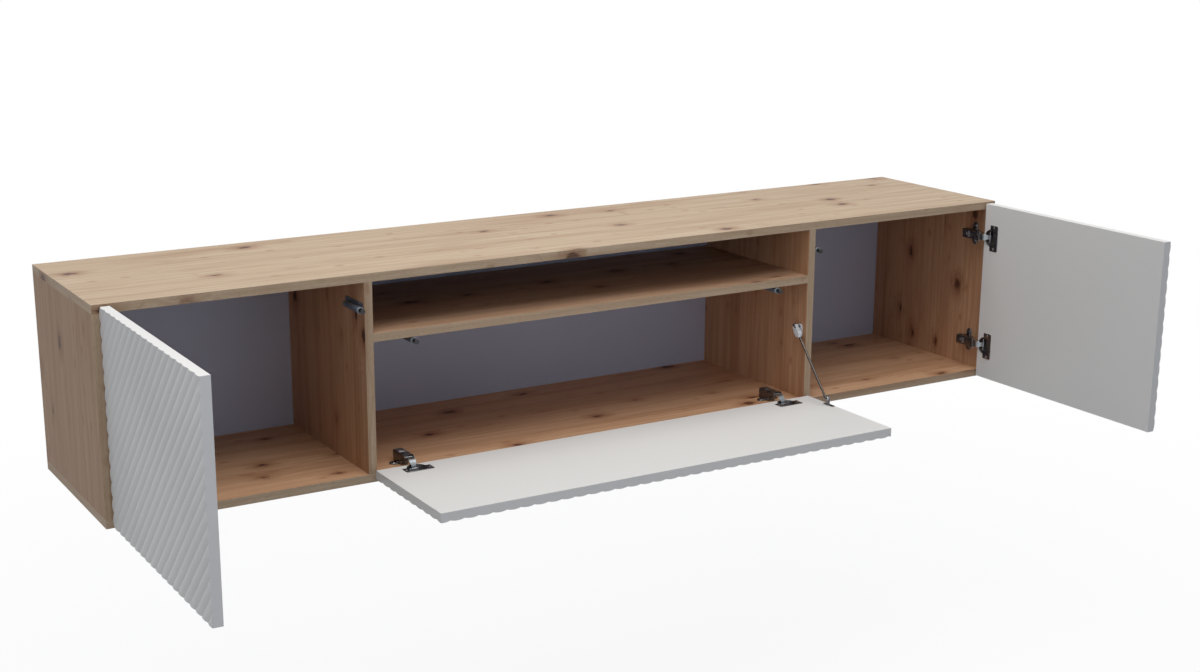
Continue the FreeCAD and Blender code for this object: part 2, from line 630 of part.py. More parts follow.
def plate_form(kind):
    """The cruciform mounting plate: wings with two screw holes, and a block under the arm."""
    pin_in = chain(kind)["arm"][0]
    under = pin_in + " + arm_nose - arm_sheet"
    flat_half = "(plate_span / 2 - plate_wing / 2)"
    wing = box(kind + "_plate_wing", ("plate_thick", "plate_wing", "2 * " + flat_half),
               at=("board", "plate_setback - plate_wing / 2", "-" + flat_half))
    ends = [
        bar12("%s_plate_end_%d" % (kind, number), "plate_wing / 2", "plate_thick",
              at=("board", "plate_setback", sign + flat_half), axis="x")
        for number, sign in enumerate(("-", "+"))
    ]
    block = box(kind + "_plate_block", ("plate_block_tall", "plate_block_long", "plate_block_wide"),
                at=("board", "plate_setback - plate_block_front", "-plate_block_wide / 2"))
    seat = box(kind + "_plate_seat", (under + " - board", "arm_seat_long", "plate_block_wide"),
               at=("board", "arm_screw_back - arm_seat_long / 2", "-plate_block_wide / 2"))
    whole = fuse(kind + "_plate_whole", [wing, block, seat] + ends)
    bores = [
        bar4("%s_plate_bore_%d" % (kind, number), "small_shank + screw_play", "plate_thick",
             at=("board", "plate_setback", sign + "plate_screw_gap / 2"), axis="x")
        for number, sign in enumerate(("-", "+"))
    ]
    bores.append(bar4(kind + "_plate_arm_bore", "small_shank + screw_play", "arm_bore_deep",
                      at=(under + " - arm_bore_deep", "arm_screw_back", 0), axis="x"))
    return cut(kind + "_plate_form", whole, bores)


def link_form(kind):
    """The link: an arched plate with a barrel at each end, narrower where it dips into the cup.

    Drawn from the arm pin, with x towards the cup pin and y to the side it arches to."""
    form = chain(kind)
    reach = form["reach"]
    radius = "((%s) ^ 2 / 4 + link_bulge ^ 2) / (2 * link_bulge)" % reach
    half_turn = "asin((%s) / 2 / (%s))" % (reach, radius)
    low = "-link_width / 2"
    middle = ("(%s) / 2" % reach, "link_bulge - (%s)" % radius, low)
    outer = rod(kind + "_link_outer", "%s + link_thick / 2" % radius, "link_width")
    outer.Placement = FreeCAD.Placement(V(0, 0, 0), FreeCAD.Rotation(V(0, 0, 1), 30))
    for axis, where in zip("xyz", middle):
        bind(outer, "Placement.Base." + axis, where)
    bind(outer, "Placement.Rotation.Angle", "90 deg - " + half_turn)
    bind(outer, "Angle", "2 * " + half_turn)
    inner = rod(kind + "_link_inner", "%s - link_thick / 2" % radius, "link_width", at=middle)
    arch = cut(kind + "_link_arch", outer, [inner])
    barrels = [
        bar8("%s_link_barrel_%d" % (kind, number), "barrel_radius", "link_width", at=(along, 0, low))
        for number, along in enumerate(("0", reach))
    ]
    whole = fuse(kind + "_link_whole", [arch] + barrels)
    bores = [
        bar8("%s_link_bore_%d" % (kind, number), "(hinge_pin_radius + pin_play) / cos(22.5)",
              "link_width", at=(along, 0, low))
        for number, along in enumerate(("0", reach))
    ]
    side = "(link_width - link_neck) / 2"
    trims = [
        box("%s_link_trim_%d" % (kind, number),
            ("%s / 2 + barrel_radius" % reach, "2 * link_bulge + 2 * barrel_radius", side),
            at=("%s / 2" % reach, "-barrel_radius - link_bulge / 2", where))
        for number, where in enumerate((low, "link_neck / 2"))
    ]
    bored = cut(kind + "_link_bored", whole, bores)
    shaped = cut(kind + "_link_form", bored, trims)
    shaped.Placement = FreeCAD.Placement(V(0, 0, 0), FreeCAD.Rotation(V(0, 0, 1), 30))
    for axis, where in zip("xyz", form["arm"] + ("0",)):
        bind(shaped, "Placement.Base." + axis, where)
    bind(shaped, "Placement.Rotation.Angle", form["lean"])
    return shaped


def cup_form(kind):
    """The cup: a drawn dish with a rim, two ears and a pin across.

    x points to the hinged edge of the front, y along it, z out of the wood, with zero in the
    middle of the cup on the inner face."""
    dish = bar16(kind + "_cup_dish", "cup_radius", "cup_depth", at=(0, 0, "-cup_depth"))
    rim = bar16(kind + "_cup_rim", "flange_radius", "flange_thick")
    ear_half = "(cup_screw_out + ear_end)"
    ears = box(kind + "_cup_ears", ("ear_wide", "2 * " + ear_half, "flange_thick"),
               at=("-flange_radius - flange_thick / 2", "-" + ear_half, 0))
    whole = fuse(kind + "_cup_whole", [dish, rim, ears])
    inside = bar16(kind + "_cup_inside", "cup_radius - cup_wall", "cup_depth + 2 * flange_thick",
                   at=(0, 0, "-cup_depth + cup_wall"))
    bores = [
        bar4("%s_cup_bore_%d" % (kind, number), "small_shank + screw_play", "2 * flange_thick",
             at=("-cup_screw_in", sign + "cup_screw_out", "-flange_thick / 2"))
        for number, sign in enumerate(("-", "+"))
    ]
    drawn = cut(kind + "_cup_drawn", whole, [inside] + bores)
    pin_x = "(cup_setback - %s_cup_pivot_edge)" % kind
    half = "(sqrt((cup_radius - cup_wall / 2) ^ 2 - (abs(%s) + hinge_pin_radius) ^ 2))" % pin_x
    pin = bar8(kind + "_cup_pin", "hinge_pin_radius", "2 * " + half,
               at=(pin_x, "-" + half, "-cup_pivot_depth"), axis="y")
    return fuse(kind + "_cup_form", [drawn, pin])


DOOR_HINGE_ROWS = [("low", "door_hinge_inset"), ("high", "cabinet_height - door_hinge_inset")]
FLAP_HINGE_ROWS = [
    ("left", "divider_setting + flap_hinge_inset"),
    ("right", "cabinet_width - divider_setting - flap_hinge_inset"),
]

# where the hinge frame of each front lies on the cabinet
HINGE_TURN = {
    "left_door": LEVEL,
    "right_door": FreeCAD.Rotation(V(0, 1, 0), 180),
    "flap": FreeCAD.Rotation(V(0, 1, 0), -90),
}
HINGE_SPOTS = {
    "left_door": [(tag, (0, 0, up)) for tag, up in DOOR_HINGE_ROWS],
    "right_door": [(tag, ("cabinet_width", 0, up)) for tag, up in DOOR_HINGE_ROWS],
    "flap": [(tag, (along, 0, 0)) for tag, along in FLAP_HINGE_ROWS],
}
KIND = {"left_door": "door", "right_door": "door", "flap": "flap"}


def make_hinges():
    """Plates, arms and links, six hinges in all."""
    plate_screws, arm_screws = [], []
    screw = fastener("plate_screw_form", "small_head", "small_head_high", "small_shank", "small_grip")
    short = fastener("arm_screw_form", "small_head", "small_head_high", "small_shank", "arm_screw_length")
    forms = {}
    for kind in ("door", "flap"):
        pin_in, pin_back = chain(kind)["arm"]
        pair = group(kind + "_plate_screw_pair", [
            copy_of(screw, "%s_plate_screw_%d" % (kind, number),
                    ("board + plate_thick", "plate_setback", sign + "plate_screw_gap / 2"), FACING["+x"])
            for number, sign in enumerate(("-", "+"))
        ])
        forms[kind] = {
            "hinge_plates": plate_form(kind),
            "hinge_arms": arm_form(kind),
            "hinge_links": link_form(kind),
            "plate_screws": pair,
            "arm_screw": copy_of(short, kind + "_arm_screw",
                                 (pin_in + " + arm_nose", "arm_screw_back", 0), FACING["+x"]),
        }
    for front, spots in HINGE_SPOTS.items():
        form = forms[KIND[front]]
        turn = HINGE_TURN[front]
        for kind_of_piece in ("hinge_plates", "hinge_arms", "hinge_links"):
            copies = [
                copy_of(form[kind_of_piece], "%s_%s_%s" % (front, kind_of_piece, tag), at, turn)
                for tag, at in spots
            ]
            name = "%s_%s" % (front, kind_of_piece)
            piece(group(name + "_set", copies), name)
        for tag, at in spots:
            label = "%s_%s" % (front, tag)
            plate_screws.append(copy_of(form["plate_screws"], "plate_screws_" + label, at, turn))
            arm_screws.append(copy_of(form["arm_screw"], "arm_screw_" + label, at, turn))
    piece(group("plate_screw_set", plate_screws), "hinge_plate_screws")
    piece(group("arm_screw_set", arm_screws), "hinge_arm_screws")
    drill_hinge_holes()


def drill_hinge_holes():
    """Screw holes under the mounting plates."""
    hole = "small_shank + screw_play"
    for tag, up in DOOR_HINGE_ROWS:
        for sign in ("-", "+"):
            where_z = "%s %s plate_screw_gap / 2" % (up, sign)
            drill("left_side_panel", bar4, hole, "small_grip",
                  at=("board - small_grip", "plate_setback", where_z), axis="x")
            drill("right_side_panel", bar4, hole, "small_grip",
                  at=(RIGHT_SIDE_X, "plate_setback", where_z), axis="x")
    for tag, along in FLAP_HINGE_ROWS:
        for sign in ("-", "+"):
            drill("bottom_panel", bar4, hole, "small_grip",
                  at=("%s %s plate_screw_gap / 2" % (along, sign), "plate_setback", "board - small_grip"))


# --------------------------------------------------------------------------------------- fronts

# A front is drawn flat: x along its width, y up its height as it hangs when shut, z from its inner
# face to its outer face.  Its ribs are rounded, with sharp notches between them.  They rise at
# forty-five degrees from lower left to upper right, and run on from one front to the next when
# all are shut.

DOOR_WIDE = "divider_setting - 2 * side_reveal"
DOOR_TALL = "cabinet_height - 2 * end_reveal"
FLAP_WIDE = "cabinet_width - 2 * divider_setting - 2 * flap_reveal"


def plane_of(body, role):
    return next(plane for plane in body.Origin.OriginFeatures if plane.Role == role)


def dimension(sketch, constraint, formula):
    """Adds one dimension to a sketch and ties it to a formula."""
    number = sketch.addConstraint(constraint)
    bind(sketch, "Constraints[%d]" % number, formula)


def outline_sketch(body, name, wide, tall):
    sketch = body.newObject("Sketcher::SketchObject", name)
    sketch.AttachmentSupport = [(plane_of(body, "XY_Plane"), "")]
    sketch.MapMode = "FlatFace"
    corners = [V(0, 0, 0), V(400, 0, 0), V(400, 300, 0), V(0, 300, 0)]
    for number in range(4):
        sketch.addGeometry(Part.LineSegment(corners[number], corners[(number + 1) % 4]))
    link = Sketcher.Constraint
    for number in range(4):
        sketch.addConstraint(link("Coincident", number, 2, (number + 1) % 4, 1))
    for number, kind in enumerate(("Horizontal", "Vertical", "Horizontal", "Vertical")):
        sketch.addConstraint(link(kind, number))
    sketch.addConstraint(link("Coincident", 0, 1, -1, 1))
    dimension(sketch, link("DistanceX", 0, 1, 0, 2, 400), wide)
    dimension(sketch, link("DistanceY", 1, 1, 1, 2, 300), tall)
    return sketch


def rib_sketch(body, name, first):
    """What the cutter takes off above one rib, seen along the rib: all over a rounded crest."""
    sketch = body.newObject("Sketcher::SketchObject", name)
    sketch.AttachmentSupport = [(plane_of(body, "XZ_Plane"), "")]
    sketch.MapMode = "FlatFace"
    sketch.AttachmentOffset = FreeCAD.Placement(V(0, 0, 0), FreeCAD.Rotation(V(0, 1, 0), -45))
    for axis in "xz":
        bind(sketch, "AttachmentOffset.Base." + axis, "(%s) / sqrt(2)" % first)
    crest = value_of("front_board")
    pitch = value_of("flute_pitch")
    deep = value_of("flute_depth")
    lid = crest + 2 * value_of("flute_skim")
    radius = ((pitch / 2) ** 2 + deep ** 2) / (2 * deep)
    sweep = math.asin(pitch / 2 / radius)
    circle = Part.Circle(V(pitch / 2, crest - radius, 0), V(0, 0, 1), radius)
    sketch.addGeometry(Part.ArcOfCircle(circle, math.pi / 2 - sweep, math.pi / 2 + sweep))
    corners = [V(0, crest - deep, 0), V(0, lid, 0), V(pitch, lid, 0), V(pitch, crest - deep, 0)]
    for start, end in zip(corners, corners[1:]):
        sketch.addGeometry(Part.LineSegment(start, end))
    rib, left_edge, lid_edge, right_edge = range(4)
    start, end = 1, 2
    origin, upright_axis = -1, -2
    link = Sketcher.Constraint
    sketch.addConstraint([
        link("Coincident", rib, end, left_edge, start),
        link("Coincident", left_edge, end, lid_edge, start),
        link("Coincident", lid_edge, end, right_edge, start),
        link("Coincident", right_edge, end, rib, start),
        link("PointOnObject", rib, end, upright_axis),
        link("Vertical", left_edge),
        link("Horizontal", lid_edge),
        link("Vertical", right_edge),
    ])
    dimension(sketch, link("DistanceX", rib, end, rib, start, pitch), "flute_pitch")
    dimension(sketch, link("DistanceY", origin, 1, rib, end, crest - deep), "front_board - flute_depth")
    dimension(sketch, link("DistanceY", origin, 1, rib, start, crest - deep), "front_board - flute_depth")
    dimension(sketch, link("DistanceY", origin, 1, left_edge, end, lid), "front_board + 2 * flute_skim")
    dimension(sketch, link("Radius", rib, radius),
              "((flute_pitch / 2) ^ 2 + flute_depth ^ 2) / (2 * flute_depth)")
    return sketch


def front_form(name, wide, tall, shut_x, shut_z):
    """A ribbed front; shut_x and shut_z are its lower left corner's cabinet place when shut."""
    body = doc.addObject("PartDesign::Body", name + "_milled")
    pad = body.newObject("PartDesign::Pad", name + "_blank")
    pad.Profile = outline_sketch(body, name + "_outline", wide, tall)
    bind(pad, "Length", "front_board + flute_skim")
    run = "((%s) - (%s)) / sqrt(2)" % (shut_x, shut_z)
    first = "floor((%s - (%s) / sqrt(2)) / flute_pitch) * flute_pitch - %s" % (run, tall, run)
    milled = body.newObject("PartDesign::Pocket", name + "_rib")
    milled.Profile = rib_sketch(body, name + "_rib_waste", first)
    milled.Type = "ThroughAll"
    milled.Midplane = True
    pattern = body.newObject("PartDesign::LinearPattern", name + "_ribs")
    pattern.Originals = [milled]
    pattern.Direction = (milled.Profile[0], ["H_Axis"])
    pattern.Refine = True
    count = "ceil((%s + %s) / sqrt(2) / flute_pitch) + 1" % (wide, tall)
    bind(pattern, "Length", "(%s - 1) * flute_pitch" % count)
    bind(pattern, "Occurrences", count)
    body.Tip = pattern
    doc.recompute()
    return body


FRONTS = {
    "left_door": (DOOR_WIDE, DOOR_TALL, "side_reveal", "end_reveal"),
    "right_door": (DOOR_WIDE, DOOR_TALL, "cabinet_width - divider_setting + side_reveal", "end_reveal"),
    "flap": (FLAP_WIDE, "flap_length", "divider_setting + flap_reveal", "end_reveal"),
}


def open_place(front):
    """Where the frame of an open front lies on the cabinet, and how it is turned."""
    wide, tall, shut_x, shut_z = FRONTS[front]
    form = chain(KIND[front])
    if front == "left_door":
        turn = FreeCAD.Rotation(V(0, -1, 0), V(0, 0, 1), V(-1, 0, 0), "XYZ")
        return (form["face"], form["edge"], shut_z), turn
    if front == "right_door":
        turn = FreeCAD.Rotation(V(0, 1, 0), V(0, 0, 1), V(1, 0, 0), "XYZ")
        return ("cabinet_width - %s" % form["face"], "%s - (%s)" % (form["edge"], wide), shut_z), turn
    turn = FreeCAD.Rotation(V(1, 0, 0), V(0, -1, 0), V(0, 0, -1), "XYZ")
    return (shut_x, form["edge"], form["face"]), turn


def cup_spots(front):
    """The middle of each cup on a front, and the turn of the cup's frame there."""
    wide, tall, shut_x, shut_z = FRONTS[front]
    if front == "left_door":
        turn = FreeCAD.Rotation(V(0, 1, 0), 180)
        return [(tag, ("cup_setback", "%s - %s" % (up, shut_z), 0)) for tag, up in DOOR_HINGE_ROWS], turn
    if front == "right_door":
        turn = FreeCAD.Rotation(V(1, 0, 0), 180)
        across = "%s - cup_setback" % wide
        return [(tag, (across, "%s - %s" % (up, shut_z), 0)) for tag, up in DOOR_HINGE_ROWS], turn
    turn = FreeCAD.Rotation(V(0, -1, 0), V(-1, 0, 0), V(0, 0, -1), "XYZ")
    return [(tag, ("%s - (%s)" % (along, shut_x), "cup_setback", 0)) for tag, along in FLAP_HINGE_ROWS], turn


def make_fronts():
    screw = fastener("cup_screw_form", "small_head", "small_head_high", "small_shank", "small_grip")
    pair = group("cup_screw_pair", [
        copy_of(screw, "cup_screw_%d" % number,
                ("-cup_screw_in", sign + "cup_screw_out", "flange_thick"))
        for number, sign in enumerate(("-", "+"))
    ])
    cups = {kind: cup_form(kind) for kind in ("door", "flap")}
    for front, (wide, tall, shut_x, shut_z) in FRONTS.items():
        kind = KIND[front]
        spots, cup_turn = cup_spots(front)
        at, turn = open_place(front)
        tools = []
        for tag, middle in spots:
            tools.append(bar16("%s_cup_bore_%s" % (front, tag), "cup_radius + 2 * screw_play",
                               "cup_depth + groove_play", at=middle))
            for sign in (-1, 1):
                ear = cup_turn.multVec(V(-1, 0, 0))
                along = cup_turn.multVec(V(0, sign, 0))
                where = tuple(
                    "%s + (%d) * cup_screw_in + (%d) * cup_screw_out" % (
                        start, round(getattr(ear, axis)), round(getattr(along, axis)))
                    for axis, start in zip("xyz", middle))
                tools.append(bar4("%s_cup_pilot_%s_%d" % (front, tag, sign),
                                  "small_shank + screw_play", "small_grip", at=where))
        tools += [maker(*sizes) for maker, sizes in front_tools.get(front, [])]
        milled = front_form(front, wide, tall, shut_x, shut_z)
        piece(cut(front + "_bored", milled, tools), front, at, turn)
        for what, form in (("hinge_cups", cups[kind]), ("cup_screws", pair)):
            name = "%s_%s" % (front, what)
            copies = [copy_of(form, "%s_%s" % (name, tag), middle, cup_turn) for tag, middle in spots]
            piece(group(name + "_set", copies), name, at, turn)


# ---------------------------------------------------------------------------------- push latches

# A latch is drawn with x off the board that carries it, y back and z across its base.

LATCHES = {
    "left_door": ((LEFT_DIVIDER_X, 0, "latch_up"), FreeCAD.Rotation(V(0, 1, 0), 180)),
    "right_door": ((RIGHT_DIVIDER_X + " + board", 0, "latch_up"), LEVEL),
    "flap_left": (("divider_setting + flap_latch_inset", 0, "shelf_under"),
                  FreeCAD.Rotation(V(0, 1, 0), 90)),
    "flap_right": (("cabinet_width - divider_setting - flap_latch_inset", 0, "shelf_under"),
                   FreeCAD.Rotation(V(0, 1, 0), 90)),
}


def latch_body_form():
    """Base plate and barrel; the mouth of the barrel takes the tip when it is pushed in."""
    middle = ("latch_lift", 0, "latch_barrel_off")
    barrel_long = "latch_length - latch_tail"
    base = box("latch_base",
               ("latch_base_thick", "latch_length - latch_base_start", "latch_base_wide"),
               at=(0, "latch_base_start", "-latch_base_wide / 2"))
    barrel = bar12("latch_barrel", "latch_barrel_radius", barrel_long, at=middle, axis="y")
    saddle = box("latch_saddle", ("latch_lift", barrel_long + " - latch_saddle_start", "latch_barrel_radius"),
                 at=(0, "latch_saddle_start", "latch_barrel_off - latch_barrel_radius / 2"))
    mouth_deep = "latch_stroke - latch_reach + latch_tip_thick + latch_play"
    mouth = bar12("latch_mouth", "(latch_tip_radius + 4 * pin_play) / cos(15)", mouth_deep,
                  at=middle, axis="y")
    bore = bar12("latch_bore", "(latch_stem_radius + 2 * pin_play) / cos(15)",
                 mouth_deep + " + latch_stem_length", at=middle, axis="y")
    bores = [
        bar4("latch_bore_%s" % row, "small_shank + screw_play", "latch_base_thick",
             at=(0, row, "-latch_screw_off"), axis="x")
        for row in ("latch_screw_front", "latch_screw_rear")
    ]
    return cut("latch_form", fuse("latch_whole", [base, barrel, saddle]), [bore, mouth] + bores)


def make_latches():
    body = latch_body_form()
    tip_at = ("latch_lift", "-latch_reach", "latch_barrel_off")
    plunger = fuse("plunger_form", [
        bar12("plunger_tip", "latch_tip_radius", "latch_tip_thick", at=tip_at, axis="y"),
        bar12("plunger_stem", "latch_stem_radius", "latch_tip_thick + latch_stem_length",
              at=tip_at, axis="y"),
    ])
    screw = fastener("latch_screw_form", "latch_head", "small_head_high", "small_shank", "small_grip")
    screws = []
    for owner, (at, turn) in LATCHES.items():
        piece(group(owner + "_latch_body_set", [copy_of(body, owner + "_latch_copy")]),
              owner + "_latch_body", at, turn)
        piece(group(owner + "_plunger_set", [copy_of(plunger, owner + "_plunger_copy")]),
              owner + "_latch_plunger", at, turn)
        for row in ("latch_screw_front", "latch_screw_rear"):
            step = turn.multVec(V(0, 0, -1))
            lift = turn.multVec(V(1, 0, 0))
            seat, hole = [], []
            for axis, start in zip("xyz", at):
                aside = round(getattr(step, axis))
                off = round(getattr(lift, axis))
                back = row if axis == "y" else "0"
                flat = "%s + %s + (%d) * latch_screw_off" % (start, back, aside)
                seat.append("%s + (%d) * latch_base_thick" % (flat, off))
                hole.append(flat + (" - small_grip" if off > 0 else ""))
            out = "+x" if lift.x > 0.5 else "-x" if lift.x < -0.5 else "-z"
            screws.append(copy_of(screw, "latch_screw_%s_%s" % (owner, row), tuple(seat), FACING[out]))
            carrier = {"left_door": "left_divider", "right_door": "right_divider"}.get(owner, "middle_shelf")
            drill(carrier, bar4, "small_shank + screw_play", "small_grip", at=tuple(hole),
                  axis="z" if carrier == "middle_shelf" else "x")
    piece(group("latch_screw_set", screws), "latch_screws")


# -------------------------------------------------------------------------------------- flap stay

STAY_X = RIGHT_DIVIDER_X + " - stay_off"
front_tools = {}


def make_stay():
    """The flap's friction stay: a rod that slides through a turning block on the right divider.

    Its lower end hooks towards an ear on the flap."""
    form = chain("flap")
    foot_y = "%s - stay_reach" % form["edge"]
    foot_z = "%s + stay_lift" % form["face"]
    lean = "atan2(stay_block_up - (%s); stay_block_back - (%s))" % (foot_z, foot_y)
    reach = "sqrt((stay_block_up - (%s)) ^ 2 + (stay_block_back - (%s)) ^ 2)" % (foot_z, foot_y)
    hub = (RIGHT_DIVIDER_X, "stay_block_back", "stay_block_up")
    # the axis of the rod's lean; the angle is bound to its formula once a piece is placed
    leaning = FreeCAD.Rotation(V(-1, 0, 0), 1)

    half = "(stay_base_tall / 2 - stay_base_wide / 2)"
    plate = box("stay_plate", ("stay_base_thick", "stay_base_wide", "2 * " + half),
                at=("-stay_base_thick", "-stay_base_wide / 2", "-" + half))
    ends = [
        bar12("stay_plate_end_%d" % number, "stay_base_wide / 2", "stay_base_thick",
              at=("-stay_base_thick", 0, sign + half), axis="x")
        for number, sign in enumerate(("-", "+"))
    ]
    boss_long = "(stay_off - stay_rod_radius - stay_boss_end)"
    boss = bar12("stay_boss", "stay_boss_radius", boss_long, at=("-" + boss_long, 0, 0), axis="x")
    bores = [
        bar4("stay_plate_bore_%d" % number, "small_shank + screw_play", "stay_base_thick",
             at=("-stay_base_thick", 0, sign + "stay_screw_off"), axis="x")
        for number, sign in enumerate(("-", "+"))
    ]
    bracket = cut("stay_bracket_bored", fuse("stay_bracket_whole", [plate, boss] + ends), bores)
    piece(bracket, "stay_bracket", hub)
    screw = fastener("stay_screw_form", "latch_head", "small_head_high", "small_shank", "small_grip")
    screws = []
    for number, sign in enumerate(("-", "+")):
        screws.append(copy_of(screw, "stay_screw_%d" % number,
                              ("-stay_base_thick", 0, sign + "stay_screw_off"), FACING["-x"]))
        drill("right_divider", bar4, "small_shank + screw_play", "small_grip",
              at=(RIGHT_DIVIDER_X, "stay_block_back", "stay_block_up %s stay_screw_off" % sign), axis="x")
    piece(group("stay_screw_set", screws), "stay_bracket_screws", hub)

    block_half = "(stay_block_long / 2 - stay_block_wide / 2)"
    right_face = "(stay_off - stay_base_thick - small_head_high - stay_boss_play)"
    left_face = right_face + " - stay_block_thick"
    core = box("stay_core", ("stay_block_thick", "stay_block_wide", "2 * " + block_half),
               at=(left_face, "-stay_block_wide / 2", "-" + block_half))
    caps = [
        bar12("stay_cap_%d" % number, "stay_block_wide / 2", "stay_block_thick",
              at=(left_face, 0, sign + block_half), axis="x")
        for number, sign in enumerate(("-", "+"))
    ]
    rod_bore = bar12("stay_rod_bore", "stay_rod_radius + stay_rod_play", "2 * stay_block_long",
                     at=(0, 0, "-stay_block_long"))
    hub_bore = bar12("stay_hub_bore", "(stay_boss_radius + pin_play) / cos(15)", "stay_block_thick / 2",
                     at=("stay_rod_radius + stay_boss_end - 2 * stay_rod_play", 0, 0), axis="x")
    block = cut("stay_block_bored", fuse("stay_block_whole", [core] + caps), [rod_bore, hub_bore])
    piece(block, "stay_block", (STAY_X, "stay_block_back", "stay_block_up"), leaning)
    bind(block, "Placement.Rotation.Angle", "90 deg - " + lean)

    stop_from = "(%s + stay_block_long / 2 + stay_stop_gap)" % reach
    shaft = bar12("stay_shaft", "stay_rod_radius", stop_from)
    hook = bar12("stay_hook", "stay_rod_radius", "stay_ear_off + stay_rod_radius / 2 - stay_hook_gap",
                 at=("-stay_rod_radius / 2", 0, 0), axis="x")
    stop = bar8("stay_stop", "stay_stop_radius", "stay_stop_long", at=(0, 0, stop_from))
    whole = fuse("stay_rod_whole", [shaft, hook, stop])
    piece(whole, "stay_rod", (STAY_X, foot_y, foot_z), leaning)
    bind(whole, "Placement.Rotation.Angle", "90 deg - " + lean)

    at, turn = open_place("flap")
    ear_x = "%s + stay_ear_off - (%s)" % (STAY_X, at[0])
    foot = box("stay_foot", ("stay_foot_wide", "stay_foot_long", "stay_plate_thick"),
               at=(ear_x, "stay_reach - stay_foot_long / 2", "-stay_plate_thick"))
    ear = box("stay_ear", ("stay_plate_thick", "2 * stay_ear_radius", "stay_lift"),
              at=(ear_x, "stay_reach - stay_ear_radius", "-stay_lift"))
    ear_middle = (ear_x, "stay_reach", "-stay_lift")
    ear_top = bar12("stay_ear_top", "stay_ear_radius", "stay_plate_thick", at=ear_middle, axis="x")
    ear_hole = bar12("stay_ear_hole", "stay_rod_radius + pin_play", "stay_plate_thick",
                     at=ear_middle, axis="x")
    screw_x = "%s + stay_foot_wide / 2 + stay_plate_thick / 3" % ear_x
    screw_rows = ["stay_reach - 3 * stay_foot_long / 8", "stay_reach + 3 * stay_foot_long / 8"]
    foot_bores = [
        bar6("stay_foot_bore_%d" % number, "latch_head + screw_play", "stay_plate_thick",
             at=(screw_x, row, "-stay_plate_thick"))
        for number, row in enumerate(screw_rows)
    ]
    foot_piece = cut("stay_foot_bored", fuse("stay_foot_whole", [foot, ear, ear_top]),
                     [ear_hole] + foot_bores)
    piece(foot_piece, "flap_stay_bracket", at, turn)
    foot_screw = fastener("stay_foot_screw", "latch_head", "small_head_high", "small_shank", "small_grip")
    copies = [
        copy_of(foot_screw, "stay_foot_screw_%d" % number, (screw_x, row, 0), DOWN)
        for number, row in enumerate(screw_rows)
    ]
    piece(group("stay_foot_screw_set", copies), "flap_stay_bracket_screws", at, turn)
    front_tools["flap"] = [
        (bar4, ("flap_stay_pilot_%d" % number, "small_shank + screw_play", "small_grip", (screw_x, row, 0)))
        for number, row in enumerate(screw_rows)
    ]
    clip = fuse("stay_clip_whole", [
        bar8("stay_clip_cap", "stay_clip_radius", "stay_clip_thick",
             at=(ear_x + " + stay_plate_thick", "stay_reach", "-stay_lift"), axis="x"),
        bar12("stay_clip_spigot", "stay_rod_radius", "stay_plate_thick",
              at=(ear_x + " + 2 * pin_play", "stay_reach", "-stay_lift"), axis="x"),
    ])
    piece(clip, "stay_clip", at, turn)


# ------------------------------------------------------------------------------------ make it all

make_fixings()
make_hangers()
make_backs()
make_hinges()
make_latches()
make_stay()
make_fronts()
make_boards()
doc.recompute()

for thing in doc.Objects:
    troubles = [state for state in thing.State if state in ("Invalid", "Error")]
    if troubles:
        raise RuntimeError("%s is %s" % (thing.Name, troubles))

for thing in pieces:
    if thing.Shape.isNull() or not thing.Shape.isValid() or not thing.Shape.Solids:
        raise RuntimeError("%s has no sound shape" % thing.Label)

os.makedirs("parts", exist_ok=True)
for thing in pieces:
    thing.Shape.exportStep(os.path.join("parts", thing.Label + ".step"))
    print("%-34s %2d solids %12.1f mm3" % (thing.Label, len(thing.Shape.Solids), thing.Shape.Volume))
print("%d sub-parts" % len(pieces))
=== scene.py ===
# %% [markdown]
# # A wall-hung media console
#
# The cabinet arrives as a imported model: boards, fronts, hinges, latches and a flap stay, each a
# mesh of its own, at rest with every front open.  This file gives those meshes their finish,
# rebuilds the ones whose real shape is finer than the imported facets, and sets up a plain studio.
#
# Lengths are metres.  X runs along the wall, Y goes into it, Z is up, and the origin is on the wall.

# %% Load the cabinet
import json
import math
from collections import namedtuple
from functools import partialmethod
from math import pi, cos, sin

import bmesh
import bpy
from mathutils import Matrix, Vector


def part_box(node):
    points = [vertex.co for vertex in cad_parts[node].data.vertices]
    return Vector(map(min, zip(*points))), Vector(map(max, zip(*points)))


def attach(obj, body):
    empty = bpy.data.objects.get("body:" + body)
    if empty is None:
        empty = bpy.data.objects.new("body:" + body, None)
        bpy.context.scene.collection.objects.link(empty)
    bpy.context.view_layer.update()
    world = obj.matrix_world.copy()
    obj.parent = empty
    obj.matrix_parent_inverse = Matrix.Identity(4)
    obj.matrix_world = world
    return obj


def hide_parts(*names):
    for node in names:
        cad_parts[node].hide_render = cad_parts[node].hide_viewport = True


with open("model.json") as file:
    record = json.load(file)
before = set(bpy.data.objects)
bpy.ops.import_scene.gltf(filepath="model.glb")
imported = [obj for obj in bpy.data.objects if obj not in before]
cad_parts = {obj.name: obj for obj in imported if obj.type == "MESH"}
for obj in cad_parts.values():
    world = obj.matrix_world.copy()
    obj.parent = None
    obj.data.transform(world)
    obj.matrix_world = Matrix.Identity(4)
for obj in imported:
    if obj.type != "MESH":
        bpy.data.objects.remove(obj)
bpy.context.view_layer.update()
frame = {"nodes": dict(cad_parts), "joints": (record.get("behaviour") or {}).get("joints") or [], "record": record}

MM = 0.001
scene = bpy.context.scene
nodes = frame["nodes"]
record = frame["record"]
joints = {joint["name"]: joint for joint in frame["joints"]}
body_of = {node: body for body, members in record["behaviour"]["bodies"].items() for node in members}
low_corner, high_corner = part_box("bottom_panel")[0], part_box("top_panel")[1]


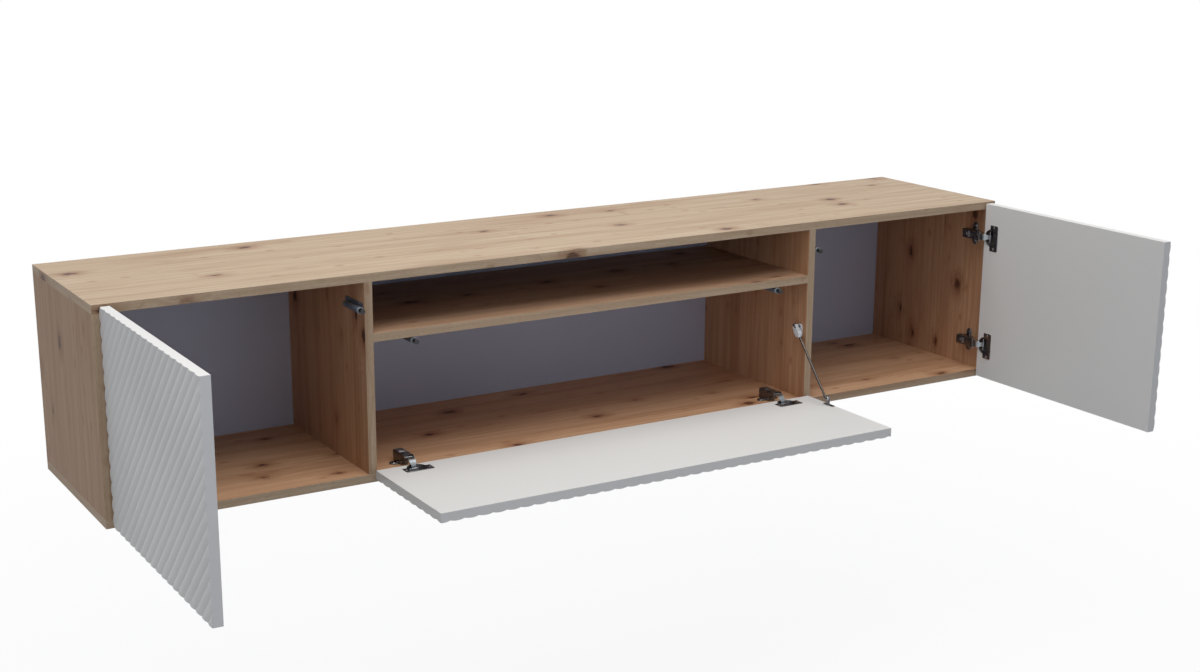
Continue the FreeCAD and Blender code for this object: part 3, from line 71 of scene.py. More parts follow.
def linked(name, data):
    """A new object in the scene."""
    made = bpy.data.objects.new(name, data)
    scene.collection.objects.link(made)
    return made


print("carcass", [round(part, 3) for part in high_corner - low_corner], "m")

# %% [markdown]
# ## Wiring nodes by hand
#
# A procedural material is a small graph.  In a script it is easier to follow when a helper adds a
# node, sets its plain values and plugs in whatever comes from another node.  `Graph` is that
# helper, and `g` is always the graph under work.  Geometry trees have the same kind of sockets.

# %% A helper for node graphs
class Graph:
    """Adds nodes to one tree.  An input that is a socket is linked, anything else is a value."""

    family = "ShaderNode"

    def __init__(self, tree):
        self.tree = tree

    def plug(self, socket, value):
        if isinstance(value, bpy.types.NodeSocket):
            self.tree.links.new(value, socket)
        else:
            socket.default_value = value

    def add(self, kind, inputs=(), **settings):
        made = self.tree.nodes.new(kind if "Node" in kind else self.family + kind)
        for name, value in settings.items():
            setattr(made, name, value)
        for key, value in dict(inputs).items():
            self.plug(made.inputs[key], value)
        return made

    def new(self, kind, inputs=(), **settings):
        """Adds a node and gives its first output."""
        return self.add(kind, inputs, **settings).outputs[0]

    def math(self, operation, *values):
        return self.new("ShaderNodeMath", enumerate(values), operation=operation)

    plus, minus = partialmethod(math, "ADD"), partialmethod(math, "SUBTRACT")
    times, over = partialmethod(math, "MULTIPLY"), partialmethod(math, "DIVIDE")

    def vector_math(self, operation, *values):
        return self.new("ShaderNodeVectorMath", enumerate(values), operation=operation)

    def join(self, x, y, z):
        return self.new("ShaderNodeCombineXYZ", {"X": x, "Y": y, "Z": z})

    def split(self, vector):
        return self.add("ShaderNodeSeparateXYZ", {0: vector}).outputs

    def noise(self, vector, scale=1.0, detail=2.0, roughness=0.5):
        return self.new("TexNoise", {
            "Vector": vector, "Scale": scale, "Detail": detail, "Roughness": roughness})

    def between(self, value, low, high, out_low=0.0, out_high=1.0):
        """A smooth step from one range to another."""
        return self.new("MapRange", {
            "Value": value, "From Min": low, "From Max": high, "To Min": out_low, "To Max": out_high,
        }, interpolation_type="SMOOTHSTEP")

    def fade(self, value, near, far):
        """One up to the near value, nought from the far one."""
        return self.between(value, near, far, 1.0, 0.0)

    def blend(self, share, first, second, mode="MIX"):
        made = self.add("Mix", data_type="RGBA", blend_type=mode)
        for number, value in zip((0, 6, 7), (share, first, second)):
            self.plug(made.inputs[number], value)
        return made.outputs[2]

    def bump(self, height, distance, strength=1.0):
        return self.new("Bump", {"Height": height, "Distance": distance, "Strength": strength})


class Surface(Graph):
    """A new material: a graph with a shader, an output and the object's own coordinates."""

    def __init__(self, name, **constants):
        self.material = bpy.data.materials.new(name)
        self.material.use_nodes = True
        super().__init__(self.material.node_tree)
        self.tree.nodes.clear()
        self.shader = self.add("BsdfPrincipled")
        self.output = self.add("OutputMaterial", {"Surface": self.shader.outputs[0]})
        self.coordinates = self.add("TexCoord").outputs
        self.place = self.coordinates["Object"]
        self.feed(**constants)

    def feed(self, **sockets):
        """Sets or links sockets of the shader, and gives the material."""
        for name, value in sockets.items():
            self.plug(self.shader.inputs[name.replace("_", " ")], value)
        return self.material


def dress(piece, finish):
    """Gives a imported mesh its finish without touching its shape."""
    nodes[piece].data.materials.clear()
    nodes[piece].data.materials.append(finish)


print("graph helper ready")

# %% [markdown]
# ## Knotty oak laminate
#
# The carcass board is chipboard under a printed paper, with a strip of the same print on each edge:
# planks of pale knotty oak with soft streaks, darker clouds and small red-brown knots, and growth
# lines that bend round each knot.  It is drawn from noise, one layer at a time, and every board has
# its own shift, so no two boards show the same knots.
#
# The first step finds where a point lies on the print.  On a glued edge the grain follows the edge.

# %% Which way the print runs
PLANK_WIDE = 0.131
EDGE_SHIFT, PLANK_SHIFT = 3.1, 7.0


def print_place(g, along, across, shift):
    """Distance along and across the grain, a number for each plank, and a mask for the edges."""
    place, normal = g.split(g.place), g.split(g.coordinates["Normal"])
    through = ({"X", "Y", "Z"} - {along, across}).pop()
    at_end, at_side = (g.math("GREATER_THAN", g.math("ABSOLUTE", normal[axis]), 0.5)
                       for axis in (along, across))

    def either(share, first, second):
        return g.new("Mix", {0: share, 2: first, 3: second}, data_type="FLOAT")

    run = g.plus(either(at_end, place[along], place[across]), shift[0])
    on_edge = g.math("MAXIMUM", at_end, at_side)
    side = either(on_edge, g.plus(place[across], shift[1]), g.plus(place[through], EDGE_SHIFT + shift[0]))
    plank = g.math("FLOOR", g.over(side, PLANK_WIDE))
    lot = g.new("TexWhiteNoise", {"W": plank}, noise_dimensions="1D")
    return g.plus(run, g.times(lot, PLANK_SHIFT)), side, lot, on_edge

# %% [markdown]
# A Voronoi pattern, squashed along the grain, gives every cell a distance to its middle and a
# random number.  The number decides whether the cell has a knot and how large.  The distance draws
# the knot, and pushes the growth lines aside, so that they flow round it as they do in a tree.

# %% Fibres, knots and growth lines
def fibre(g, grain, long, wide, detail=3.0, roughness=0.55):
    """Noise drawn out along the grain."""
    return g.noise(g.vector_math("MULTIPLY", grain, (long, wide, 1.0)), 1.0, detail, roughness)


def knots(g, grain, cell_long, cell_wide, chance, offset):
    """Distance to the nearest knot, in cells, and its size from nought to one."""
    flat = g.vector_math("DIVIDE", grain, (cell_long, cell_wide, 1.0))
    flat = g.vector_math("ADD", flat, (offset, offset * 1.7, 0.0))
    cells = g.add("TexVoronoi", {"Vector": flat, "Scale": 1.0}, voronoi_dimensions="2D")
    draw = g.new("SeparateColor", {0: cells.outputs["Color"]})
    return cells.outputs["Distance"], g.math("POWER", g.between(draw, 1.0 - chance, 1.0), 1.7)


LINES_A_METRE, WANDER, DETOUR = 130.2, 18.9, 7.14


def growth_lines(g, grain, side, far, size):
    """Uneven lines along the grain, pushed aside near a knot."""
    wander = g.times(fibre(g, grain, 1.3, 6.5, 2.0), WANDER)
    detour = g.times(g.times(g.fade(far, 0.0, 0.5), size), DETOUR)
    phase = g.plus(g.times(side, LINES_A_METRE), g.plus(wander, detour))
    return g.new("TexNoise", {"W": phase, "Scale": 1.0, "Detail": 4.0, "Roughness": 0.62},
                 noise_dimensions="1D")

# %% Ground colour
OAK_PALE = (0.640, 0.492, 0.340, 1)
OAK_TAN = (0.470, 0.328, 0.205, 1)
OAK_RUST = (0.330, 0.172, 0.092, 1)


def oak_ground(g, grain, lines, lot):
    """Streaks, growth lines, clouds and hairs, from the broadest to the finest."""
    clouds, drift = fibre(g, grain, 1.9, 11.0), fibre(g, grain, 0.9, 26.0, 2.0)
    streaks = fibre(g, grain, 3.2, 135, 4.0, 0.62)
    hairs = fibre(g, grain, 24, 820, 3.0, 0.6)
    flecks = g.between(fibre(g, grain, 60, 1300, 2.0), 0.60, 0.74)
    rings = g.times(g.between(lines, 0.44, 0.66), g.between(clouds, 0.30, 0.75, 0.10, 0.62))
    rust = g.times(g.between(lines, 0.56, 0.72), g.between(drift, 0.4, 0.8, 0.06, 0.40))
    colour = g.blend(g.between(streaks, 0.26, 0.76), OAK_PALE, OAK_TAN)
    colour = g.blend(rings, colour, OAK_TAN)
    for share in (rust, g.between(drift, 0.44, 0.78, 0.0, 0.42), g.between(clouds, 0.50, 0.78, 0.0, 0.46),
                  g.between(hairs, 0.5, 0.8, 0.0, 0.26), g.times(flecks, 0.26)):
        colour = g.blend(share, colour, OAK_RUST)
    return g.blend(g.times(lot, 0.30), colour, OAK_TAN), hairs

# %% Knot colours
OAK_KNOT = (0.215, 0.098, 0.050, 1)
OAK_HEART = (0.070, 0.032, 0.020, 1)


def oak_knots(g, grain, colour, far, size):
    """A rusty halo, a brown ring, a dark heart and short cracks, and a few pin knots."""
    small_far, small_size = knots(g, grain, 0.066, 0.036, 0.38, 4.3)
    ragged = g.minus(fibre(g, grain, 52, 150, 5.0, 0.72), 0.5)
    near = g.plus(far, g.times(ragged, 0.27))
    small_near = g.plus(small_far, g.times(ragged, 0.34))
    halo = g.times(g.fade(near, 0.02, 0.30), size)
    ring = g.times(g.fade(near, 0.03, 0.12), g.between(size, 0.05, 0.5))
    dot = g.times(g.fade(small_near, 0.04, 0.22), small_size)
    heart = g.fade(g.minus(near, g.times(size, 0.075)), -0.020, 0.004)
    cleft = g.between(fibre(g, grain, 13, 400, 2.0), 0.56, 0.66)
    crack = g.times(cleft, g.times(g.fade(near, 0.05, 0.30), size))
    scar = g.math("MAXIMUM", g.times(heart, g.between(size, 0.08, 0.4)), g.times(crack, 0.85))
    for mask, share, stain in (
            (halo, 0.80, OAK_RUST), (ring, 0.70, OAK_KNOT), (dot, 0.60, OAK_RUST), (scar, 0.86, OAK_HEART)):
        colour = g.blend(g.times(mask, share), colour, stain)
    return colour, scar

# %% [markdown]
# The layers come together here.  A thin dark line marks the seam between planks, and the glued strips
# show a coarser grain.  Each board carries a painted tint for the light and shade it gets, darker
# and redder on the side and the uprights, and the edges a painted cool light.

# %% Oak boards
# Painted cool light on the glued edges, which face the bluish light in front.
EDGE_PAINTED_COOL_LIGHT = (0.93, 0.95, 0.98, 1)
# Painted shade: the uprights inside get little light, so their print is darkened and reddened.
UPRIGHT_PAINTED_SHADE = (0.93, 0.71, 0.60)


def oak(name, along, across, shift, painted_light_tint):
    """Oak print whose grain runs along one axis, with its planks side by side across another."""
    g = Surface(name, Specular_IOR_Level=0.30)
    run, side, lot, on_edge = print_place(g, along, across, shift)
    grain = g.join(run, side, 0.0)
    far, size = knots(g, grain, 0.175, 0.110, 0.86, 0.0)
    colour, hairs = oak_ground(g, grain, growth_lines(g, grain, side, far, size), lot)
    within = g.math("FRACT", g.over(side, PLANK_WIDE))
    seam = g.between(g.math("ABSOLUTE", g.minus(within, 0.5)), 0.492, 0.499, 0.0, 0.30)
    colour = g.blend(seam, colour, OAK_RUST)
    colour, scar = oak_knots(g, grain, colour, far, size)
    coarse = g.between(fibre(g, grain, 95, 560, 3.0, 0.7), 0.45, 0.72, 0.0, 0.34)
    colour = g.blend(g.times(on_edge, coarse), colour, OAK_RUST)
    # Painted light and shade: the board's painted tint, or the painted cool light on edges, multiplies the print.
    colour = g.blend(1.0, colour, g.blend(on_edge, (*painted_light_tint, 1), EDGE_PAINTED_COOL_LIGHT), "MULTIPLY")
    relief = g.minus(g.times(hairs, 0.5), g.times(scar, 0.8))
    return g.feed(Base_Color=colour, Roughness=g.between(hairs, 0.2, 0.8, 0.50, 0.62),
                  Normal=g.bump(relief, 0.0002, 0.5))


# The last entry of each board is a painted tint for the light and shade on it, not the board's colour.
BOARDS = {
    "top_panel": ("X", "Y", (0.33, 0.021), (0.95, 0.97, 1.00)),
    "bottom_panel": ("X", "Y", (2.71, 0.060), (1.19, 0.96, 0.84)),
    "middle_shelf": ("X", "Y", (5.12, 0.097), (0.94, 0.80, 0.76)),
    "left_side_panel": ("Z", "Y", (1.44, 0.013), (0.74, 0.63, 0.56)),
    "left_divider": ("Z", "Y", (3.15, 0.085), UPRIGHT_PAINTED_SHADE),
    "right_divider": ("Z", "Y", (4.62, 0.042), UPRIGHT_PAINTED_SHADE),
    "right_side_panel": ("Z", "Y", (6.27, 0.110), UPRIGHT_PAINTED_SHADE),
}
for board, print_and_painted_tint in BOARDS.items():
    dress(board, oak("oak_" + board, *print_and_painted_tint))
print("oak on", len(BOARDS), "boards")

# %% [markdown]
# ## Quiet finishes
#
# The rest is plainer: white foil with a faint orange peel, plated steel with brushed streaks and
# cloudy roughness, and finely pitted plastic.  One function covers them all, because a finish is
# the same recipe with other numbers.

# %% Foil, sheet, metal and plastic
FOIL = {"dark": 0.95, "tone": (4.0, 3.0), "ramp": (0.3, 0.7, -0.03, 0.04),
        "relief": ((900, 900, 900), 0.00004, 0.35)}
PLATED = {"dark": 0.70, "tone": (130.0, 3.0), "ramp": (0.25, 0.75, -0.05, 0.10),
          "relief": ((300, 2400, 2400), 0.00003, 0.30), "Metallic": 1.0}
MOULDED = {"dark": 0.84, "tone": (60.0, 2.0), "ramp": (0.3, 0.7, -0.04, 0.05),
           "relief": ((1800, 1800, 1800), 0.00003, 0.50)}
MILKY = {**MOULDED, "Subsurface_Weight": 0.3, "Subsurface_Radius": (0.004,) * 3,
         "Subsurface_Scale": 1.0}


def plain_finish(name, colour, roughness, dark, tone, ramp, relief, **constants):
    """A cloudy tone drives colour and roughness, and a fine noise, drawn out or not, the relief."""
    g = Surface(name, **constants)
    cloud = g.noise(g.place, *tone)
    low, high, down, up = ramp
    stretch, distance, strength = relief
    return g.feed(
        Base_Color=g.blend(cloud, (*colour, 1), (*(dark * part for part in colour), 1)),
        Roughness=g.between(cloud, low, high, roughness + down, roughness + up),
        Normal=g.bump(g.noise(g.vector_math("MULTIPLY", g.place, stretch)), distance, strength))


white_foil = plain_finish("white_foil", (0.825, 0.815, 0.79), 0.48, **FOIL)
dark_nickel = plain_finish("dark_nickel", (0.235, 0.220, 0.225), 0.30, **PLATED)
bright_nickel = plain_finish("bright_nickel", (0.30, 0.32, 0.335), 0.36, **PLATED)
rod_steel = plain_finish("rod_steel", (0.105, 0.094, 0.086), 0.22, **PLATED)
zinc = plain_finish("zinc", (0.45, 0.46, 0.47), 0.42, **PLATED)
slate_plastic = plain_finish("slate_plastic", (0.110, 0.130, 0.165), 0.40, **MOULDED)
pale_plastic = plain_finish("pale_plastic", (0.30, 0.34, 0.38), 0.34, **MOULDED)
black_plastic = plain_finish("black_plastic", (0.018, 0.018, 0.020), 0.42, **MOULDED)
milky_plastic = plain_finish("milky_plastic", (0.74, 0.76, 0.78), 0.34, **MILKY)
print("finishes ready")

# %% [markdown]
# The backs are sheets of brown hardboard, lacquered grey on the side that faces the compartments.
# One material covers both sides: the direction in which a face looks chooses the coat.

# %% Back sheets
g = Surface("back_sheet", Specular_IOR_Level=0.35)
towards_wall = g.math("GREATER_THAN", g.split(g.coordinates["Normal"])[1], 0.5)
felted, tone = g.noise(g.place, 420.0, 4.0, 0.7), g.noise(g.place, 4.0, 3.0)
# The blue cast of the lacquer is painted cool shade, not the colour of the sheet.
lacquer_and_cool_shade = g.blend(tone, (0.56, 0.62, 0.76, 1), (0.53, 0.585, 0.72, 1))
hardboard = g.blend(felted, (0.27, 0.175, 0.105, 1), (0.17, 0.105, 0.062, 1))
back_sheet = g.feed(
    Base_Color=g.blend(towards_wall, lacquer_and_cool_shade, hardboard),
    Roughness=g.plus(g.between(tone, 0.3, 0.7, 0.39, 0.46), g.times(towards_wall, 0.3)),
    Normal=g.bump(g.noise(g.place, 900.0), 0.00004, 0.35))
for side in ("left", "middle", "right"):
    dress(side + "_back_panel", back_sheet)
print("backs lacquered inside, bare outside")

# %% [markdown]
# ## Beech dowels
#
# The dowels sit inside the boards, so a short recipe will do: fibres along each, from one noise.

# %% Beech, and the finishes of the hidden fittings
g = Surface("beech")
strands = g.noise(g.vector_math("MULTIPLY", g.place, (900, 900, 60)), 1.0, 3.0)
beech = g.feed(Base_Color=g.blend(strands, (0.66, 0.47, 0.28, 1), (0.48, 0.31, 0.17, 1)),
               Roughness=g.between(strands, 0.3, 0.7, 0.6, 0.75))
HIDDEN = {"dowels": beech, "wall_hangers": milky_plastic}
HIDDEN |= dict.fromkeys(
    ("cam_locks", "cam_bolts", "bottom_screws", "back_panel_nails", "wall_plates", "hanger_hooks"), zinc)
for node, coat in HIDDEN.items():
    dress(node, coat)
print(len(HIDDEN), "packed pieces dressed")

# %% [markdown]
# ## Ribbed fronts
#
# The two doors and the flap are milled boards wrapped in foil.  Rounded ribs run over each at
# forty-five degrees, with sharp notches between them, and carry on from one front to the next when
# everything is shut.
#
# The rule is short: lay out a slab whose top is a row of arcs, turn it by forty-five degrees and
# keep what lies inside the outline of the front.  All three fronts are then one geometry tree with
# other numbers.  The points that come in are the middles of the cups, where it bores two holes.
#
# First comes what every tree needs: named inputs, and `grow`, which turns it into a plain mesh.

# %% Trees with named inputs
class Tree(Graph):
    """A geometry tree.  `given` holds its inputs: the points it stands on, and the named values."""

    family = "GeometryNode"

    def __init__(self, name, **inputs):
        super().__init__(bpy.data.node_groups.new(name, "GeometryNodeTree"))
        sockets = self.tree.interface
        sockets.new_socket("Points", in_out="INPUT", socket_type="NodeSocketGeometry")
        for label, value in inputs.items():
            kind = "NodeSocketFloat" if isinstance(value, float) else "NodeSocketMaterial"
            sockets.new_socket(label, in_out="INPUT", socket_type=kind).default_value = value
        sockets.new_socket("Mesh", in_out="OUTPUT", socket_type="NodeSocketGeometry")
        self.given = self.add("NodeGroupInput").outputs

    def cube(self, x, y, z):
        return self.new("MeshCube", {"Size": self.join(x, y, z)})

    def moved(self, geometry, **how):
        return self.new("Transform", {"Geometry": geometry, **how})

    def boolean(self, operation, *tools, **first):
        made = self.add("MeshBoolean", first, operation=operation, solver="EXACT")
        for tool in tools:
            self.plug(made.inputs["Mesh 2"], tool)
        return made.outputs["Mesh"]

    def on_points(self, instance, **how):
        return self.new("InstanceOnPoints", {"Points": self.given["Points"], "Instance": instance, **how})

    def hand_out(self, geometry):
        """The end of every tree: instances made real, and the finish set."""
        real = self.new("RealizeInstances", {0: geometry})
        coated = self.new("SetMaterial", {0: real, "Material": self.given["Finish"]})
        self.add("NodeGroupOutput", {0: coated})

    def grow(self, name, points, **values):
        """Runs the tree on a mesh of points and keeps a plain mesh."""
        grown = linked(name, points)
        modifier = grown.modifiers.new(name, "NODES")
        modifier.node_group = self.tree
        for item in self.tree.interface.items_tree:
            if item.in_out == "INPUT" and item.name in values:
                modifier[item.identifier] = values[item.name]
        ready = grown.evaluated_get(bpy.context.evaluated_depsgraph_get())
        plain = bpy.data.meshes.new_from_object(ready)
        grown.modifiers.clear()
        grown.data = plain
        plain.name = name
        return grown


def point_mesh(name, places):
    made = bpy.data.meshes.new(name)
    made.from_pydata(places, [], [])
    return made


def hand_over(made, *packed_nodes):
    """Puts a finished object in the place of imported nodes, on their body."""
    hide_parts(*packed_nodes)
    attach(made, body_of[packed_nodes[0]])

# %% The rib tree
RIB_STEPS = 14
HALF_ROOT = math.sqrt(0.5)
g = rib_tree = Tree(
    "ribbed_front", Width=0.5, Height=0.4, Thickness=0.018, Pitch=0.0196, Depth=0.0022, Phase=0.0,
    Bore_Radius=0.0176, Bore_Depth=0.0117, Finish=white_foil)
width, height, thickness, pitch, depth, phase, bore_radius, bore_depth = g.given[1:9]

# how many ribs cover the front, and where the first notch lies
along = g.times(g.plus(width, height), HALF_ROOT)
count = g.plus(g.math("CEIL", g.over(along, pitch)), 1.0)
corner = g.minus(phase, g.times(height, HALF_ROOT))
first = g.minus(g.times(g.math("FLOOR", g.over(corner, pitch)), pitch), phase)
run = g.times(count, pitch)
across = g.plus(along, 0.01)
slab = g.new("MeshCube", {
    "Size": g.join(run, across, thickness), "Vertices X": g.plus(g.times(count, float(RIB_STEPS)), 1.0)})

# the top of the slab follows an arc over each pitch
x, y, z = g.split(g.new("InputPosition"))
travelled = g.plus(x, g.times(run, 0.5))
off_crest = g.times(g.minus(g.math("FRACT", g.over(travelled, pitch)), 0.5), pitch)
radius = g.over(g.plus(g.math("POWER", g.times(pitch, 0.5), 2.0), g.math("POWER", depth, 2.0)),
                g.times(depth, 2.0))
squares = g.math("POWER", radius, 2.0), g.math("POWER", off_crest, 2.0)
arc = g.minus(g.math("SQRT", g.minus(*squares)), radius)
crest = g.times(g.math("GREATER_THAN", z, 0.0), g.plus(thickness, arc))
shaped = g.new("SetPosition", {
    "Geometry": slab,
    "Position": g.join(g.plus(travelled, first), g.plus(y, g.times(across, 0.495)), crest)})
turned = g.moved(shaped, Rotation=(0.0, 0.0, -pi / 4))

# keep what lies inside the outline, and bore the seats of the hinge cups
outline = g.moved(g.cube(width, height, g.times(thickness, 4.0)),
                  Translation=g.join(g.times(width, 0.5), g.times(height, 0.5), 0.0))
trimmed = g.boolean("INTERSECT", turned, outline)
cutter = g.new("MeshCylinder", {"Vertices": 48, "Radius": bore_radius, "Depth": g.times(bore_depth, 2.0)})
bores = g.new("RealizeInstances", {0: g.on_points(cutter)})
bored = g.boolean("DIFFERENCE", bores, **{"Mesh 1": trimmed})

# arcs shade smoothly, notches and rims stay sharp
smooth = g.new("SetShadeSmooth", {0: bored, "Shade Smooth": True}, domain="FACE")
bend = g.new("InputMeshEdgeAngle")
g.hand_out(g.new("SetShadeSmooth", {
    0: smooth, "Selection": g.math("GREATER_THAN", bend, 0.4), "Shade Smooth": False}, domain="EDGE"))
print("rib tree:", len(g.tree.nodes), "nodes")

# %% [markdown]
# A front hangs on two concealed hinges, and its holes lie where their cups go, so the hinges are
# placed first.  `off` points away from the board that carries the hinge.  The arm pin stands `lift`
# off that board and `edge` behind its front edge, and the cup pin lies `inset` in from the hinged
# edge of the front.

# %% Where the hinges stand
Hinge = namedtuple("Hinge", "off lift edge inset rows")
DOOR_ROWS, FLAP_ROWS = (-0.269, -0.027), (-0.425, 0.425)
HINGES = {
    "left_door": Hinge(Vector((1, 0, 0)), 17.0, 7.0, 11.3, DOOR_ROWS),
    "right_door": Hinge(Vector((-1, 0, 0)), 17.0, 7.0, 11.3, DOOR_ROWS),
    "flap": Hinge(Vector((0, 0, 1)), 18.5, 4.2, 8.4, FLAP_ROWS),
}
CUP_SETBACK = 21.5
INWARD = Vector((0, 1, 0))
packed = {front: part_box(front) for front in HINGES}


def standing(origin, x_axis, y_axis, z_axis):
    """The matrix that sets something down at an origin, along three directions."""
    return Matrix.Translation(origin) @ Matrix((x_axis, y_axis, z_axis)).transposed().to_4x4()


def corner_of(box, towards):
    """The corner from which a box extends, axis by axis, in a direction."""
    return Vector([low if part > 0 else high for part, low, high in zip(towards, *box)])


def pin(joint):
    return Vector(joints[joint]["pos_m"])


def at_rows(front, origin, *axes):
    """One matrix for each hinge of a front, from a point given for any place along the pins."""
    along = 0 if front == "flap" else 2
    frames = []
    for row in HINGES[front].rows:
        origin[along] = row
        frames.append(standing(origin, *axes))
    return frames


def arm_frames(front):
    """x off the board, y into the cabinet, z along the pins, with zero on the arm pin."""
    off = HINGES[front].off
    return at_rows(front, pin(front + "_link_turn"), off, INWARD, off.cross(INWARD))


def cup_frames(front):
    """x to the hinged edge, z out of the wood, with zero in the middle of the cup."""
    off = HINGES[front].off
    face = corner_of(packed[front], -off - INWARD)
    face.y -= CUP_SETBACK * MM
    return at_rows(front, face, INWARD, off.cross(INWARD), off)


print("flap's arm pin", [round(part, 4) for part in pin("flap_link_turn")])

# %% [markdown]
# Each front is grown lying flat, with its inner face down, and then turned to where it stands open.
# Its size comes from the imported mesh.  The phase of the ribs comes from where its lower left corner
# is when it is shut, so that the ribs of all three fronts line up.

# %% Grow the fronts
CABINET_WIDE, DIVIDER_AT = 2.0, 0.5
DOOR_REVEAL, FLAP_REVEAL, END_REVEAL = 1.5 * MM, 2.5 * MM, 3.0 * MM
FRONTS = {
    "left_door": ((0, -1, 0), (0, 0, 1), (-1, 0, 0), DOOR_REVEAL),
    "right_door": ((0, 1, 0), (0, 0, 1), (1, 0, 0), CABINET_WIDE - DIVIDER_AT + DOOR_REVEAL),
    "flap": ((1, 0, 0), (0, -1, 0), (0, 0, -1), DIVIDER_AT + FLAP_REVEAL),
}
for name, (x_axis, y_axis, z_axis, left_when_shut) in FRONTS.items():
    size = packed[name][1] - packed[name][0]
    wide, tall = abs(size.dot(x_axis)), abs(size.dot(y_axis))
    corner = corner_of(packed[name], Vector(x_axis) + Vector(y_axis) + Vector(z_axis))
    place = standing(corner, x_axis, y_axis, z_axis)
    cups = [place.inverted() @ cup.translation for cup in cup_frames(name)]
    points = point_mesh(name + "_cups", [(cup.x, cup.y, 0.0) for cup in cups])
    front = rib_tree.grow(name + "_milled", points, Width=wide, Height=tall,
                          Phase=(left_when_shut - END_REVEAL) * HALF_ROOT)
    front.data.transform(place)
    hand_over(front, name)
    print(name, round(wide, 4), "x", round(tall, 4), "m,", len(front.data.polygons), "faces")

# %% [markdown]
# ## Screws
#
# Forty-two small screws with domed, cross-recessed heads hold the fittings.  They are alike but for
# their size, so one head and one shank are modelled once, and stand on points that carry a
# direction, a head size and a length.
#
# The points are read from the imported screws.  Each packed screw is a separate solid, and its head
# holds more corners than its tip, so the mean of its corners lies towards the head.

# %% Find every packed screw
HEAD_HIGH = 1.3 * MM


def solids_of(node):
    """Low corner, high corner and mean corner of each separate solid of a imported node."""
    mesh = bmesh.new()
    mesh.from_mesh(nodes[node].data)
    bmesh.ops.remove_doubles(mesh, verts=mesh.verts, dist=1e-6)
    left, found = set(mesh.verts), []
    for start in list(mesh.verts):
        if start not in left:
            continue
        left.discard(start)
        members = [start]
        for vert in members:
            near = [edge.other_vert(vert) for edge in vert.link_edges]
            fresh = [other for other in near if other in left]
            left.difference_update(fresh)
            members += fresh
        points = [vert.co.copy() for vert in members]
        low, high = (Vector(map(pick, *points)) for pick in (min, max))
        found.append((low, high, sum(points, Vector()) / len(points)))
    mesh.free()
    return found


def screw_of(low, high, mean):
    """Seat of the head, the way it faces, its radius and the length below it."""
    size, middle = high - low, (low + high) / 2
    axis = max(range(3), key=lambda number: size[number])
    facing = Vector((0, 0, 0))
    facing[axis] = math.copysign(1.0, mean[axis] - middle[axis])
    radius = sorted(size)[1] / 2
    return middle + facing * (size[axis] / 2 - HEAD_HIGH), facing, radius, size[axis] - HEAD_HIGH

# %% The screw tree
SLOT_LONG, SLOT_WIDE = 1.25, 0.24
g = screw_tree = Tree("fitting_screws", Head_Height=HEAD_HIGH, Shank_Radius=1.7 * MM, Finish=dark_nickel)
head_height, shank_radius = g.given[1:3]
ball = g.new("MeshUVSphere", {"Segments": 20, "Rings": 10, "Radius": 1.0})
dome = g.moved(ball, Scale=g.join(1.0, 1.0, head_height))
below = g.moved(g.cube(3.0, 3.0, 3.0), Translation=(0.0, 0.0, -1.5))
slots = [g.moved(g.cube(long, wide, head_height), Translation=g.join(0.0, 0.0, head_height))
         for long, wide in ((SLOT_WIDE, SLOT_LONG), (SLOT_LONG, SLOT_WIDE))]
head = g.boolean("DIFFERENCE", below, *slots, **{"Mesh 1": dome})
shank = g.new("MeshCylinder", {"Vertices": 10, "Radius": 1.0, "Depth": 1.0})
shank = g.moved(shank, Translation=(0.0, 0.0, -0.5))

# the points carry each screw's turn, head size and length
turn, head_size, length = (
    g.new("InputNamedAttribute", {"Name": name}, data_type=kind)
    for name, kind in (("turn", "FLOAT_VECTOR"), ("head", "FLOAT"), ("length", "FLOAT")))
turn = g.new("FunctionNodeEulerToRotation", {0: turn})
both = g.add("JoinGeometry")
g.plug(both.inputs[0], g.on_points(head, Rotation=turn, Scale=g.join(head_size, head_size, 1.0)))
g.plug(both.inputs[0], g.on_points(shank, Rotation=turn, Scale=g.join(shank_radius, shank_radius, length)))
g.hand_out(both.outputs[0])
print("screw tree:", len(g.tree.nodes), "nodes")

# %% Screws on each body
SCREWS = {
    "carcass": ("hinge_plate_screws", "hinge_arm_screws", "latch_screws", "stay_bracket_screws"),
    "left_door": ("left_door_cup_screws",),
    "right_door": ("right_door_cup_screws",),
    "flap": ("flap_cup_screws", "flap_stay_bracket_screws"),
}
for body, members in SCREWS.items():
    found = [screw_of(*solid) for node in members for solid in solids_of(node)]
    seats, facings, radii, lengths = zip(*found)
    turns = [angle for number, facing in enumerate(facings) for angle in (
        facing.to_track_quat("Z", "Y") @ Matrix.Rotation(0.7 * number, 3, "Z").to_quaternion()).to_euler()]
    points = point_mesh(body + "_screw_points", seats)
    for label, kind, field, values in (
            ("head", "FLOAT", "value", radii), ("length", "FLOAT", "value", lengths),
            ("turn", "FLOAT_VECTOR", "vector", turns)):
        points.attributes.new(label, kind, "POINT").data.foreach_set(field, values)
    screws = screw_tree.grow(body + "_fitting_screws", points)
    hand_over(screws, *members)
    print(body, len(found), "screws,", len(screws.data.polygons), "faces")

# %% [markdown]
# ## Pressed and turned steel
#
# Hinges, latches and the stay are small sheet and turned parts, so two moves make them all.  A
# slab is an outline with thickness and softly broken edges.  A turned shape is a row of circles.
# Both are lofts: loops with the same number of points, skinned one to the next.
#
# `stand` copies a form to each place where the piece stands, as one object that takes over from
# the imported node.

# %% Forms from lofted loops
ALONG = {
    "x": Matrix(((0, 0, 1), (1, 0, 0), (0, 1, 0))),
    "y": Matrix(((0, 1, 0), (0, 0, 1), (1, 0, 0))),
    "z": Matrix.Identity(3),
}


